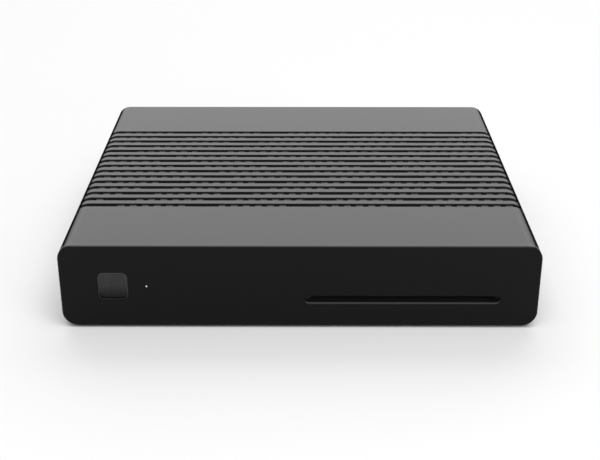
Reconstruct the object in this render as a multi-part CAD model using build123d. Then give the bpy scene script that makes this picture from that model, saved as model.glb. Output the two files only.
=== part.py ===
"""Compact satellite television receiver, built as the assembly that comes apart on a bench.

Frame: +X to the right seen from the front, +Y to the back, +Z up, in millimetres. The origin is
at table height, under the middle of the box that holds the receiver with its aerial socket.
"""
from build123d import *
import os
from math import radians, tan

# ---------------------------------------------------------------- driving dimensions
# Housing
housing_width = 200.0
housing_depth = 174.5
housing_height = 37.4
corner_radius = 6.4
wall = 2.5
seam_height = 12.0            # the cover meets the tray this far above the underside
lip_height = 2.4
lip_thickness = 1.2
fit_gap = 0.1                 # between parts that plug into each other
hidden_sides = 8              # of a small round that doesn't show
seen_sides = 16               # of a small round that shows

# Front bezel
bezel_thickness = 3.0
bezel_edge = 0.4
bezel_lip_depth = 4.0
bezel_lip_thickness = 1.4
clip_width = 7.6
clip_depth = 1.8
clip_height = 1.2
clip_spacing = 100.0
clip_setback = 0.6            # from the end of the bezel's ribs

# Ribbed vent band
groove_count = 15
groove_pitch = 6.6
groove_width = 3.3
first_groove = 39.8           # from the front face to the first groove's near edge
groove_depth = 2.0
band_wall = 3.2
band_margin = 3.0
band_reach = 10.0             # how far down the sides the cover is that thick
vent_length = 24.0            # of one opening in a groove's floor
vent_pitch = 44.8
vent_shift = 7.45             # each row's openings start this far beside those of the row before
rows_per_sweep = 5
rising_start = 11.6           # where the first opening starts in a sweep to the right
falling_start = 16.6          # and in a sweep to the left
vent_margin = 8.4             # from the side of the housing to the outermost opening
shortest_vent = 4.0

# Air slots in the tray's floor
air_slot_fields = (-36.0, 36.0)
air_slot_count = 7
air_slot_pitch = 7.0
air_slot_width = 2.6
air_slot_length = 34.0
first_air_slot = 62.0         # from the front face

# Power button and status light
button_inset = 22.1           # from the housing's left side
button_height = 18.7
button_size = 12.6
button_radius = 2.5
button_gap = 0.15
button_travel = 0.5
button_dish = 0.9
button_rim = 0.7
flange_width = 1.0
flange_thickness = 1.2
guide_wall = 1.2
guide_depth = 3.5
stem_radius = 1.75
switch_size = 6.0
switch_depth = 3.4
plunger_length = 1.3
plunger_proud = 0.7
light_spacing = 14.05         # from the button to the status light
light_radius = 0.5
light_collar_radius = 1.5
light_collar = 1.0
led_width = 2.0
led_height = 1.25
led_depth = 1.0

# Card slot
slot_inset = 57.0             # from the housing's right side
slot_height = 12.3
slot_width = 81.8
slot_tall = 3.2
slot_chamfer = 0.4
card_width = 54.0
card_side_gap = 0.4
card_path = 1.4
guide_side = 3.0
guide_mouth_extra = 0.5
reader_depth = 46.0
reader_wall = 2.6
reader_back_wall = 2.0
contact_width = 1.2
contact_length = 4.0
contact_rise = 0.3
contact_pitch = 2.54
contact_rows = (25.0, 34.5)   # behind the reader's mouth

# Boards
board_thickness = 1.6
standoff_height = 6.0
standoff_radius = 3.0
standoff_inset = 16.0
standoff_front = 26.0
standoff_middle = 91.0
standoff_back = 29.0
standoff_back_x = (-28.0, 36.0)
board_side_gap = 8.0          # from the housing's side to the main board
board_front = 16.0
board_back_gap = 0.5
notch_gap = 1.0
front_board_face = 11.0
front_board_inset = 6.0
front_board_width = 44.0
front_board_low = 4.5
front_board_high = 33.0
front_boss_radius = 2.6
front_boss_edge = 1.0         # from the boss to the board's edges
link_width = 12.7
link_inset = 7.2
link_depth = 8.4
link_height = 5.0

# Screws and feet
screw_radius = 1.45
screw_head_radius = 2.8
screw_head_height = 1.9
screw_clearance = 0.3
thread_gap = 0.05
small_screw_radius = 1.2
small_head_radius = 2.3
small_head_height = 1.5
small_screw_length = 6.0
case_screw_length = 14.0
post_radius = 4.6
post_height = 10.0
head_recess = 6.0
boss_radius = 3.4
post_inset_x = 12.0
front_post = 27.0
rear_post = 122.0
foot_radius = 6.0
foot_stand = 1.0
foot_recess = 0.8
foot_inset_x = 18.0
foot_inset_y = 13.8
foot_edge = 0.6

# Rear panel
panel_thickness = 1.0
panel_recess = 1.5
port_gap = 0.25
panel_block = 8.0
stop_width = 7.0
stop_height = 7.0
panel_screw_height = 5.6
panel_screw_left = 53.0       # from the housing's left side
panel_screw_right = 32.0      # from its right side

# Rear connectors, spread evenly along the panel: sizes are (width, depth, height)
row_margin = 8.5              # from the housing's side to the outermost connector
connector_reach = 9.5         # the aerial socket ends this far behind the housing
lnb_rise = 8.6
lnb_radius = 4.7
lnb_root_step = 0.1
lnb_hole_radius = 0.6
lnb_hole_depth = 5.0
lnb_tip = 0.5
nut_across_flats = 12.7
nut_thickness = 2.2
tuner_width = 18.0
tuner_depth = 40.0
tuner_height = 17.0
serial_shell_width = 16.9
serial_shell_height = 8.3
serial_shell_slant = 1.5
serial_shell_proud = 5.0
serial_corner = 1.2
serial_flange_width = 30.8
serial_flange_height = 12.5
serial_flange = 1.0
serial_body_depth = 9.0
serial_body_rim = 1.0
serial_screw_spacing = 25.0
jack_across_flats = 4.75
jack_length = 4.6
hdmi_size = (15.0, 12.0, 5.9)
hdmi_mouth = (14.0, 10.0, 4.55)
hdmi_corner = 1.3
hdmi_tongue = (11.8, 8.4, 1.0)
hdmi_tongue_rise = 0.4
optical_size = (13.6, 15.0, 11.4)
optical_mouth = (8.8, 9.6, 8.4)
shutter_thickness = 0.7
shutter_inset = 0.9
shutter_gap = 0.2
hinge_pin_radius = 0.5
hinge_pin_length = 0.7
hinge_gap = 0.05
usb_size = (14.2, 17.5, 15.8)
usb_mouth = (12.5, 12.0, 5.1)
usb_pitch = 7.4
usb_tongue = (11.1, 9.6, 1.8)
ethernet_size = (16.2, 21.3, 13.4)
ethernet_mouth = (11.7, 13.5, 7.0)
ethernet_latch = (6.2, 1.6)
ethernet_key = (3.4, 1.4)
ethernet_floor = 1.9
av_size = (7.0, 13.0, 8.0)
av_barrel_radius = 3.2
av_bore_radius = 1.8
av_bore_depth = 12.5
dc_size = (9.0, 14.0, 11.0)
dc_bore_radius = 3.15
dc_bore_depth = 9.5
dc_pin_radius = 1.0
dc_pin_short = 1.0
port_proud = 0.8

# Power rocker switch
rocker_frame_width = 15.0
rocker_frame_height = 21.0
rocker_frame_lip = 1.6
rocker_body_width = 12.8
rocker_body_height = 19.0
rocker_body_depth = 11.0
rocker_radius = 8.0
rocker_gap = 0.3
rocker_width = 9.4
rocker_side_gap = 0.2
rocker_face = 3.0
rocker_back = 2.0
rocker_tilt = 10.0
rocker_pivot_inset = 1.0
rocker_pin_radius = 1.0
rocker_pin_length = 0.9
pin_gap = 0.05
rocker_board_gap = 1.5

# Board components
chip_size = (27.0, 27.0, 2.2)
chip_x = -6.0
chip_depth = 88.0
pad_thickness = 0.5
sink_size = (42.0, 42.0)
sink_base = 2.5
sink_height = 12.0
fin_count = 7
fin_thickness = 1.5
memory_size = (11.0, 8.0, 1.2)
memory_pitch = 12.0
memory_gap = 0.5
flash_size = (12.0, 18.4, 1.2)
flash_gap = 1.5
flash_depth = 92.0
inductor_size = (7.3, 7.3, 4.2)
inductor_pitch = 11.0
inductor_lead = 14.0          # from the first capacitor to the first inductor
inductor_chamfer = 1.4
capacitor_radius = 4.0
capacitor_height = 11.5
capacitor_pitch = 11.0
power_inset = 32.0
power_depth = 112.0
crystal_size = (11.0, 4.7, 3.5)
crystal_side = 30.0           # beside the processor
crystal_behind = 30.0         # and behind it
receiver_spacing = 6.9        # from the button to the remote-control receiver
receiver_height = 28.2
receiver_size = (5.6, 2.6, 6.6)
receiver_lens_radius = 1.6
receiver_lens_length = 4.0

# ---------------------------------------------------------------- places that follow from them
half_width = housing_width / 2
y_front = -(housing_depth + connector_reach) / 2
y_back = y_front + housing_depth
y_bezel_back = y_front + bezel_thickness
z_floor = foot_stand
z_top = foot_stand + housing_height
z_middle = (z_floor + z_top) / 2
z_seam = z_floor + seam_height
z_tray = z_floor + wall
y_panel_back = y_back - panel_recess
y_panel_front = y_panel_back - panel_thickness
z_board_low = z_tray + standoff_height
z_board = z_board_low + board_thickness
y_board_front = y_front + board_front
y_board_back = y_panel_front - board_back_gap
y_front_board = y_front + front_board_face
z_slot = z_floor + slot_height
z_button = z_floor + button_height
x_posts = (-(half_width - post_inset_x), half_width - post_inset_x)
y_posts = (y_front + front_post, y_front + rear_post)
posts = [(x, y) for x in x_posts for y in y_posts]
z_head_seat = z_floor + head_recess
z_post_top = z_floor + post_height
panel_screws = (-half_width + panel_screw_left, half_width - panel_screw_right)
z_panel_screw = z_floor + panel_screw_height
button_x = -half_width + button_inset
light_x = button_x + light_spacing
receiver_x = button_x + receiver_spacing
slot_x = half_width - slot_inset
board_side = half_width - board_side_gap
front_board_left = -half_width + front_board_inset
front_board_right = front_board_left + front_board_width
front_boss = front_boss_radius + front_boss_edge
front_board_screws = (
    (front_board_left + front_boss, z_floor + front_board_high - front_boss),
    (front_board_right - front_boss, z_floor + front_board_low + front_boss),
)
standoffs = [
    (x, y)
    for x in (-board_side + standoff_inset, board_side - standoff_inset)
    for y in (y_board_front + standoff_front, y_board_front + standoff_middle)
] + [(x, y_board_back - standoff_back) for x in standoff_back_x]
usb_levels = (-usb_pitch / 2, usb_pitch / 2)
memory_x = chip_x + sink_size[0] / 2 + memory_gap + memory_size[0] / 2
flash_x = memory_x + memory_size[0] / 2 + flash_gap + flash_size[0] / 2
power_x = -half_width + power_inset
connector_widths = (
    rocker_frame_width, dc_size[0], av_size[0], ethernet_size[0], usb_size[0], optical_size[0],
    hdmi_size[0], serial_flange_width, tuner_width,
)
connector_gap = (housing_width - 2 * row_margin - sum(connector_widths)) / (len(connector_widths) - 1)
connector_places = [
    -half_width + row_margin + sum(connector_widths[:n]) + n * connector_gap + width / 2
    for n, width in enumerate(connector_widths)
]
rocker_x, dc_x, av_x, ethernet_x, usb_x, optical_x, hdmi_x, serial_x, lnb_x = connector_places


# ---------------------------------------------------------------- shapes used throughout
def block(x, y, z):
    """A box between three (low, high) pairs."""
    centre = [(low + high) / 2 for low, high in (x, y, z)]
    size = [high - low for low, high in (x, y, z)]
    return Pos(*centre) * Box(*size)


def around(centre, width):
    """The (low, high) pair of a width about its centre."""
    return (centre - width / 2, centre + width / 2)


def along_y(sketch, x, z, y_low, y_high):
    """A sketch seen from the front, placed at x and z and carried from y_low to y_high."""
    plane = Plane(origin=(x, y_low, z), x_dir=(1, 0, 0), z_dir=(0, -1, 0))
    return extrude(plane * sketch, amount=y_low - y_high)


def upright(sketch, x, y, z_low, z_high):
    """A sketch seen from above, placed at x and y and carried from z_low to z_high."""
    return extrude(Pos(x, y, z_low) * sketch, amount=z_high - z_low)


def shell_section(inset):
    """The housing's rounded outline seen from the front, drawn in by an inset."""
    radius = max(corner_radius - inset, 0.3)
    return RectangleRounded(housing_width - 2 * inset, housing_height - 2 * inset, radius)


def shell_run(inset, y_low, y_high):
    """The solid inside that outline between two depths."""
    return along_y(shell_section(inset), 0, z_middle, y_low, y_high)


def everywhere(z_low, z_high, y_low=y_front, y_high=y_back):
    """A slab wider than the housing, used to keep or remove a range of heights and depths."""
    return block((-housing_width, housing_width), (y_low, y_high), (z_low, z_high))


def screw(shank, length, head, head_height):
    """A pan-head screw that points up, with the underside of its head at the origin."""
    body = extrude(few_sided(shank), amount=length)
    cap = extrude(few_sided(head), amount=-head_height)
    return cap + body


def few_sided(radius):
    """A small hidden round as a polygon inside its circle, to keep the model light."""
    return RegularPolygon(radius, hidden_sides)


def few_sided_hole(radius):
    """The matching hole, a polygon outside its circle."""
    return RegularPolygon(radius, hidden_sides, major_radius=False)


def fine_round(radius):
    """A small round that shows, as a polygon of many sides inside its circle."""
    return RegularPolygon(radius, seen_sides)


def fine_hole(radius):
    """The matching hole, outside its circle."""
    return RegularPolygon(radius, seen_sides, major_radius=False)


def port_block(x, size, proud=port_proud):
    """A board-mounted socket's body, which stands on the board and comes out of the panel."""
    width, depth, height = size
    back = y_panel_back + proud
    return block(around(x, width), (back - depth, back), (z_board, z_board + height))


def port_cut(x, size):
    """The panel's opening for such a body."""
    width, _, height = size
    opening = Rectangle(width + 2 * port_gap, height + 2 * port_gap)
    return along_y(opening, x, z_board + height / 2, y_panel_front - 1, y_back)


# ---------------------------------------------------------------- ribbed vent cover
def groove_front(row):
    """The near edge of one groove."""
    return y_front + first_groove + row * groove_pitch


def vent_openings(row):
    """The openings in one groove's floor, which sweep to the right and then to the left."""
    sweep, step = divmod(row, rows_per_sweep)
    start = falling_start - vent_shift * step if sweep % 2 else rising_start + vent_shift * step
    reach = half_width - vent_margin
    groups = int(half_width / vent_pitch) + 2
    openings = []
    for group in range(-groups, groups):
        low = max(start + group * vent_pitch, -reach)
        high = min(start + group * vent_pitch + vent_length, reach)
        if high - low > shortest_vent:
            openings.append((low, high))
    return openings


def groove_tools():
    """What the moulding tool leaves open: the grooves between the ribs, and their vents."""
    floor = z_top - groove_depth
    grooves = []
    for row in range(groove_count):
        span = (groove_front(row), groove_front(row) + groove_width)
        grooves.append(everywhere(floor, z_top + 1, *span))
        grooves += [block(vent, span, (z_top - band_wall - 1, z_top)) for vent in vent_openings(row)]
    return grooves


def top_cover():
    """Moulded lid: an arch with a thicker ribbed vent band, screw bosses and a panel stop."""
    arch = shell_run(0, y_bezel_back, y_back) - shell_run(wall, y_bezel_back - 1, y_back + 1)
    arch &= everywhere(z_seam, z_top + 1, y_front, y_back)
    band_front = groove_front(0) - band_margin
    band_back = groove_front(groove_count - 1) + groove_width + band_margin
    band = shell_run(wall / 2, band_front, band_back)
    band -= shell_run(band_wall, band_front - 1, band_back + 1)
    arch += band & everywhere(z_top - band_reach, z_top + 1)
    for x, y in posts:
        arch += upright(few_sided(boss_radius), x, y, z_post_top + fit_gap, z_top - wall / 2)
    for x in x_posts:
        depth = (y_panel_front - wall, y_panel_front)
        arch += block(around(x, stop_width), depth, (z_top - stop_height, z_top - wall / 2))
    pilot = few_sided_hole(screw_radius + thread_gap)
    z_tip = z_head_seat + case_screw_length
    pilots = [upright(pilot, x, y, z_post_top - 1, z_tip + 1) for x, y in posts]
    return arch - pilots - groove_tools()


# ---------------------------------------------------------------- tray
def lip_ring(y_low, y_high):
    """The tongue that rises from the tray's side walls inside the cover."""
    inset = wall + fit_gap
    ring = shell_run(wall / 2, y_low, y_high) - shell_run(inset + lip_thickness, y_low - 1, y_high + 1)
    upper = shell_run(inset, y_low - 1, y_high + 1) & everywhere(z_seam, z_seam + lip_height)
    lower = everywhere(z_seam - lip_height, z_seam)
    return (ring & lower) + (ring & upper)


def base_tray():
    """Moulded tray: rounded floor, side walls with a tongue, posts, standoffs and floor vents."""
    tray = shell_run(0, y_bezel_back, y_back) - shell_run(wall, y_bezel_back - 1, y_back + 1)
    tray &= everywhere(z_floor, z_seam)
    tray += lip_ring(y_bezel_back + bezel_lip_depth + 1, y_panel_front - 1)
    for x, y in posts:
        tray += upright(few_sided(post_radius), x, y, z_floor + wall / 2, z_post_top)
    for x, y in standoffs:
        tray += upright(few_sided(standoff_radius), x, y, z_floor + wall / 2, z_board_low)
    for x in panel_screws:
        depth = (y_panel_front - panel_block, y_panel_front)
        tray += block(around(x, panel_block), depth, (z_floor + wall / 2, z_board_low - fit_gap))
    cuts = []
    for x, y in posts:
        cuts.append(upright(few_sided_hole(screw_radius + screw_clearance), x, y, z_floor, z_post_top + 1))
        recess = few_sided_hole(screw_head_radius + screw_clearance)
        cuts.append(upright(recess, x, y, z_floor - 1, z_head_seat))
    for x, y in standoffs:
        cuts.append(upright(few_sided_hole(small_screw_radius + thread_gap), x, y, z_tray, z_board_low + 1))
    for x in panel_screws:
        pilot = few_sided_hole(small_screw_radius + thread_gap)
        cuts.append(along_y(pilot, x, z_panel_screw, y_panel_front - panel_block + 1, y_panel_front + 1))
    for x, y in feet():
        cuts.append(upright(fine_hole(foot_radius + fit_gap), x, y, z_floor - 1, z_floor + foot_recess))
    for x in around(0, clip_spacing):
        width = around(x, clip_width + 2 * fit_gap)
        cuts.append(block(width, clip_span(fit_gap), (z_floor - 1, z_tray + 1)))
    cuts += floor_vents()
    return tray - cuts


def feet():
    """Where the feet stand."""
    xs = (-half_width + foot_inset_x, half_width - foot_inset_x)
    ys = (y_front + foot_inset_y, y_back - foot_inset_y)
    return [(x, y) for x in xs for y in ys]


def floor_vents():
    """Two fields of air slots under the main board."""
    slots = []
    for field in air_slot_fields:
        for number in range(air_slot_count):
            y = y_front + first_air_slot + number * air_slot_pitch
            span = (y, y + air_slot_width)
            slots.append(block(around(field, air_slot_length), span, (z_floor - 1, z_tray + 1)))
    return slots


# ---------------------------------------------------------------- bezel
def clip_span(gap):
    """The depths between which the bezel's clips lie, widened by a gap."""
    start = y_bezel_back + bezel_lip_depth - clip_depth - clip_setback
    return (start - gap, start + clip_depth + gap)


def bezel_ribs():
    """The four straight ribs that plug the bezel into the tray and the cover."""
    depth = (y_bezel_back - 1, y_bezel_back + bezel_lip_depth)
    inset = wall + fit_gap
    inner = inset + bezel_lip_thickness
    across = (-half_width + corner_radius, half_width - corner_radius)
    upright_span = (z_floor + corner_radius, z_top - corner_radius)
    return [
        block(across, depth, (z_floor + inset, z_floor + inner)),
        block(across, depth, (z_top - inner, z_top - inset)),
        block((-half_width + inset, -half_width + inner), depth, upright_span),
        block((half_width - inner, half_width - inset), depth, upright_span),
    ]


def card_slot():
    """The slot's outline, with round ends of a few sides."""
    straight = slot_width - slot_tall
    outline = Rectangle(straight, slot_tall)
    for x in around(0, straight):
        end = RegularPolygon(slot_tall / 2, seen_sides, major_radius=False, rotation=180 / seen_sides)
        outline += Pos(x, 0) * end
    return outline


def front_bezel():
    """Moulded front: a plate with plug-in ribs, clips, the button's guide and board bosses."""
    plate = shell_run(0, y_front, y_bezel_back)
    plate = chamfer(plate.faces().sort_by(Axis.Y)[0].edges(), bezel_edge)
    bezel = plate
    for rib in bezel_ribs():
        bezel += rib
    for x in around(0, clip_spacing):
        nub = block(around(x, clip_width), clip_span(0), (z_tray + fit_gap - clip_height, z_tray + 1))
        bezel += nub
    tube = button_size + 2 * (flange_width + button_gap + guide_wall)
    bore = button_size + 2 * (flange_width + button_gap)
    guide = Rectangle(tube, tube) - Rectangle(bore, bore)
    bezel += along_y(guide, button_x, z_button, y_bezel_back, y_bezel_back + guide_depth)
    for x, z in front_board_screws:
        bezel += along_y(few_sided(front_boss_radius), x, z, y_bezel_back - 1, y_front_board)
        pilot = few_sided_hole(small_screw_radius + thread_gap)
        bezel -= along_y(pilot, x, z, y_front_board - small_screw_length, y_front_board + 1)
    hole = RectangleRounded(button_size, button_size, button_radius)
    bezel -= along_y(hole, button_x, z_button, y_front - 1, y_bezel_back + 1)
    light = fine_hole(light_radius + thread_gap)
    bezel -= along_y(light, light_x, z_button, y_front - 1, y_bezel_back + 1)
    bezel -= along_y(card_slot(), slot_x, z_slot, y_front - 1, y_bezel_back + 1)
    face = bezel.faces().sort_by(Axis.Y)[0]
    mouth = max(face.inner_wires(), key=lambda wire: wire.length)
    return chamfer(mouth.edges(), slot_chamfer)


def power_button():
    """Square key with a dished face, a flange that keeps it behind the bezel, and a stem."""
    size = button_size - 2 * button_gap
    cap = RectangleRounded(size, size, button_radius - button_gap)
    key = along_y(cap, button_x, z_button, y_front + button_gap, y_bezel_back + fit_gap)
    outer = size + 2 * flange_width
    flange = Rectangle(outer, outer)
    y_flange = y_bezel_back + fit_gap
    key += along_y(flange, button_x, z_button, y_flange, y_flange + flange_thickness)
    y_stem_end = y_front_board - switch_depth - plunger_proud
    key += along_y(few_sided(stem_radius), button_x, z_button, y_flange, y_stem_end)
    half_chord = size / 2 - button_rim
    ball = (half_chord ** 2 + button_dish ** 2) / (2 * button_dish)
    y_ball = y_front + button_gap + button_dish - ball
    return key - Pos(button_x, y_ball, z_button) * Sphere(ball)


def tact_plunger():
    """The switch's own plunger, which the button's stem pushes."""
    start = y_front_board - switch_depth - plunger_proud
    return along_y(few_sided(stem_radius), button_x, z_button, start, start + plunger_length)


def tact_switch():
    """Push switch on the front board, with the well its plunger moves in."""
    size = around(0, switch_size)
    body = block(
        (button_x + size[0], button_x + size[1]),
        (y_front_board - switch_depth, y_front_board),
        (z_button + size[0], z_button + size[1]),
    )
    well_start = y_front_board - switch_depth
    well_end = well_start - plunger_proud + plunger_length + button_travel + fit_gap
    return body - along_y(few_sided_hole(stem_radius + fit_gap), button_x, z_button, well_start - 1, well_end)


def status_light_pipe():
    """Clear rod that carries the light-emitting diode's light to a pinhole in the bezel."""
    rod = along_y(fine_round(light_radius), light_x, z_button, y_front, y_front_board - led_depth)
    collar = few_sided(light_collar_radius)
    return rod + along_y(collar, light_x, z_button, y_bezel_back, y_bezel_back + light_collar)


def status_led():
    """Light-emitting diode on the front board."""
    depth = (y_front_board - led_depth, y_front_board)
    return block(around(light_x, led_width), depth, around(z_button, led_height))


def ir_receiver():
    """Remote-control receiver with a round lens, on the front board."""
    width, depth, height = receiver_size
    z = z_floor + receiver_height
    body = block(around(receiver_x, width), (y_front_board - depth, y_front_board), around(z, height))
    lens = upright(
        few_sided(receiver_lens_radius), receiver_x, y_front_board - depth, *around(z, receiver_lens_length)
    )
    return body + lens


def front_board():
    """Circuit board behind the bezel, screwed to the bezel's bosses."""
    board = block(
        (front_board_left, front_board_right),
        (y_front_board, y_front_board + board_thickness),
        (z_floor + front_board_low, z_floor + front_board_high),
    )
    for x, z in front_board_screws:
        hole = few_sided_hole(small_screw_radius + screw_clearance)
        board -= along_y(hole, x, z, y_front_board - 1, y_front_board + board_thickness + 1)
    return board


def board_link():
    """Socket strip that plugs the front board onto the main board."""
    start = y_front_board + board_thickness
    right = front_board_right - link_inset
    return block((right - link_width, right), (start, start + link_depth), (z_board, z_board + link_height))


# ---------------------------------------------------------------- card slot
def card_guide():
    """Funnel from the bezel's slot to the card reader's mouth."""
    half_height = z_slot - z_board + 1
    outer = (slot_x - slot_width / 2 - guide_side, slot_x + slot_width / 2 + guide_side)
    body = block(outer, (y_bezel_back, y_board_front), around(z_slot, 2 * half_height))
    mouth_width = slot_width + guide_mouth_extra
    mouth = Rectangle(mouth_width, slot_tall + guide_mouth_extra)
    throat = Rectangle(card_width + 2 * card_side_gap, card_path)
    start = Plane(origin=(slot_x, y_bezel_back, z_slot), x_dir=(1, 0, 0), z_dir=(0, -1, 0))
    end = Plane(origin=(slot_x, y_board_front, z_slot), x_dir=(1, 0, 0), z_dir=(0, -1, 0))
    return body - loft([start * mouth, end * throat], ruled=True)


def card_reader():
    """Flat card socket on the main board, open to the front."""
    half_height = z_slot - z_board
    width = card_width + 2 * (card_side_gap + reader_wall)
    body = block(
        around(slot_x, width),
        (y_board_front, y_board_front + reader_depth),
        around(z_slot, 2 * half_height),
    )
    pocket = block(
        around(slot_x, card_width + 2 * card_side_gap),
        (y_board_front - 1, y_board_front + reader_depth - reader_back_wall),
        around(z_slot, card_path),
    )
    return body - pocket


def card_contacts():
    """Two rows of spring contacts on the floor of the card reader."""
    z_low = z_slot - card_path / 2
    blades = []
    for row in contact_rows:
        y = y_board_front + row
        for number in range(4):
            x = slot_x + (number - 1.5) * contact_pitch
            blades.append(block(around(x, contact_width), (y, y + contact_length), (z_low, z_low + contact_rise)))
    return blades


# ---------------------------------------------------------------- main board and what it carries
def main_board():
    """Main circuit board, notched round the screw posts."""
    board = block((-board_side, board_side), (y_board_front, y_board_back), (z_board_low, z_board))
    for x, y in posts:
        notch = 2 * (post_radius + notch_gap)
        reach = 2 * (board_side - abs(x)) + notch
        board -= block(around(x, reach), around(y, notch), (z_board_low - 1, z_board + 1))
    for x, y in standoffs:
        hole = few_sided_hole(small_screw_radius + screw_clearance)
        board -= upright(hole, x, y, z_board_low - 1, z_board + 1)
    corner_x = (-board_side - 1, rocker_x + rocker_body_width / 2 + rocker_board_gap)
    corner_y = (y_panel_back - rocker_body_depth - rocker_board_gap, y_back)
    return board - block(corner_x, corner_y, (z_board_low - 1, z_board + 1))


def board_screws():
    """Screws that hold the main board on its standoffs."""
    return [
        Pos(x, y, z_board) * Rot(180, 0, 0)
        * screw(small_screw_radius, small_screw_length, small_head_radius, small_head_height)
        for x, y in standoffs
    ]


def on_board(size, x, depth, lift=0.0):
    """A component's box, standing on the main board at x and a depth behind the front face."""
    width, length, height = size
    y = y_front + depth
    return block(around(x, width), around(y, length), (z_board + lift, z_board + lift + height))


def processor_chip():
    """The receiver's processor."""
    return on_board(chip_size, chip_x, chip_depth)


def thermal_pad():
    """Soft pad that takes the heat from the processor to its heat sink."""
    return on_board((chip_size[0], chip_size[1], pad_thickness), chip_x, chip_depth, chip_size[2])


def heat_sink():
    """Extruded heat sink with upright fins."""
    lift = chip_size[2] + pad_thickness
    width, length = sink_size
    sink = on_board((width, length, sink_base), chip_x, chip_depth, lift)
    for number in range(fin_count):
        x = chip_x + (number / (fin_count - 1) - 0.5) * (width - fin_thickness)
        sink += on_board((fin_thickness, length, sink_height), x, chip_depth, lift)
    return sink


def memory_chips():
    """Memory beside the processor."""
    return [on_board(memory_size, memory_x, chip_depth + (n - 1.5) * memory_pitch) for n in range(4)]


def flash_chip():
    """Flash memory that holds the receiver's program."""
    return on_board(flash_size, flash_x, flash_depth)


def inductors():
    """Shielded inductors of the power converters."""
    parts = []
    for number in range(3):
        depth = power_depth - inductor_lead - number * inductor_pitch
        body = on_board(inductor_size, power_x, depth)
        parts.append(chamfer(body.edges().filter_by(Axis.Z), inductor_chamfer))
    return parts


def capacitors():
    """Electrolytic capacitors beside the inductors and by the power inlet."""
    parts = []
    for number in range(5):
        x = power_x + (number % 2) * capacitor_pitch
        y = y_front + power_depth + (number // 2) * capacitor_pitch
        parts.append(upright(few_sided(capacitor_radius), x, y, z_board, z_board + capacitor_height))
    return parts


def crystal():
    """Crystal in its flat metal can."""
    can = on_board(crystal_size, chip_x + crystal_side, chip_depth + crystal_behind)
    return chamfer(can.edges().filter_by(Axis.Z), crystal_size[1] / 3)


def tuner_can():
    """Screening can of the tuner, behind the aerial socket."""
    back = y_panel_front - board_back_gap
    return block(around(lnb_x, tuner_width), (back - tuner_depth, back), (z_board, z_board + tuner_height))


# ---------------------------------------------------------------- rear connectors
def lnb_connector():
    """Coaxial aerial socket: a barrel from the tuner can through the panel, with its pinhole."""
    z = z_board + lnb_rise
    y_can = y_panel_front - board_back_gap
    y_tip = y_back + connector_reach
    y_root = y_panel_back + nut_thickness
    root = along_y(fine_round(lnb_radius + lnb_root_step), lnb_x, z, y_can, y_root)
    barrel = along_y(Circle(lnb_radius), lnb_x, z, y_root, y_tip - lnb_tip)
    tip = along_y(fine_round(lnb_radius - lnb_tip), lnb_x, z, y_tip - lnb_tip, y_tip)
    pinhole = along_y(few_sided_hole(lnb_hole_radius), lnb_x, z, y_tip - lnb_hole_depth, y_tip + 1)
    return root + barrel + tip - pinhole


def lnb_nut():
    """Hexagon nut that holds the socket's barrel to the panel."""
    z = z_board + lnb_rise
    ring = RegularPolygon(nut_across_flats / 2, 6, major_radius=False)
    ring -= fine_hole(lnb_radius + lnb_root_step + thread_gap)
    return along_y(ring, lnb_x, z, y_panel_back, y_panel_back + nut_thickness)


def serial_outline(width, height, slant):
    """The connector's D outline, wide side up."""
    half = width / 2
    outline = Polygon(
        (-half, height / 2), (-half + slant, -height / 2), (half - slant, -height / 2), (half, height / 2),
        align=None,
    )
    return chamfer(outline.vertices(), serial_corner)


def serial_height():
    """The connector's axis above the board."""
    return z_board + serial_flange_height / 2


def serial_port():
    """Nine-way service socket: D shell through the panel, flange and body behind it."""
    z = serial_height()
    outline = serial_outline(serial_shell_width, serial_shell_height, serial_shell_slant)
    shell = along_y(outline, serial_x, z, y_panel_front - serial_flange, y_panel_back + serial_shell_proud)
    flange = Rectangle(serial_flange_width, serial_flange_height)
    for x in around(0, serial_screw_spacing):
        flange -= Pos(x, 0) * few_sided_hole(small_screw_radius + thread_gap)
    plate = along_y(flange, serial_x, z, y_panel_front - serial_flange, y_panel_front)
    body = block(
        around(serial_x, serial_shell_width + 2 * serial_body_rim),
        (y_panel_front - serial_flange - serial_body_depth, y_panel_front - serial_flange),
        (z_board, z + serial_shell_height / 2 + serial_body_rim),
    )
    return shell + plate + body


def serial_jackscrews():
    """Hexagon posts that clamp the service socket's flange to the panel."""
    parts = []
    for x in around(serial_x, serial_screw_spacing):
        post = RegularPolygon(jack_across_flats / 2, 6, major_radius=False)
        part = along_y(post, x, serial_height(), y_panel_back, y_panel_back + jack_length)
        shank = few_sided(small_screw_radius)
        part += along_y(shank, x, serial_height(), y_panel_front - serial_flange - 1, y_panel_back + 1)
        parts.append(part)
    return parts


def hdmi_outline(width, height, corner):
    """The socket's mouth: a rectangle whose lower corners are cut."""
    half = width / 2
    return Polygon(
        (-half, height / 2), (-half, -height / 2 + corner), (-half + corner, -height / 2),
        (half - corner, -height / 2), (half, -height / 2 + corner), (half, height / 2),
        align=None,
    )


def hdmi_socket():
    """Video socket: a formed shell with a contact tongue."""
    width, depth, height = hdmi_size
    z = z_board + height / 2
    back = y_panel_back + port_proud
    shell = along_y(hdmi_outline(width, height, hdmi_corner), hdmi_x, z, back - depth, back)
    mouth_width, mouth_depth, mouth_height = hdmi_mouth
    mouth = hdmi_outline(mouth_width, mouth_height, hdmi_corner)
    shell -= along_y(mouth, hdmi_x, z, back - mouth_depth, back + 1)
    tongue_width, tongue_depth, tongue_height = hdmi_tongue
    tongue_back = back - mouth_depth + tongue_depth
    z_tongue = around(z + hdmi_tongue_rise, tongue_height)
    return shell + block(around(hdmi_x, tongue_width), (back - mouth_depth - 0.5, tongue_back), z_tongue)


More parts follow.
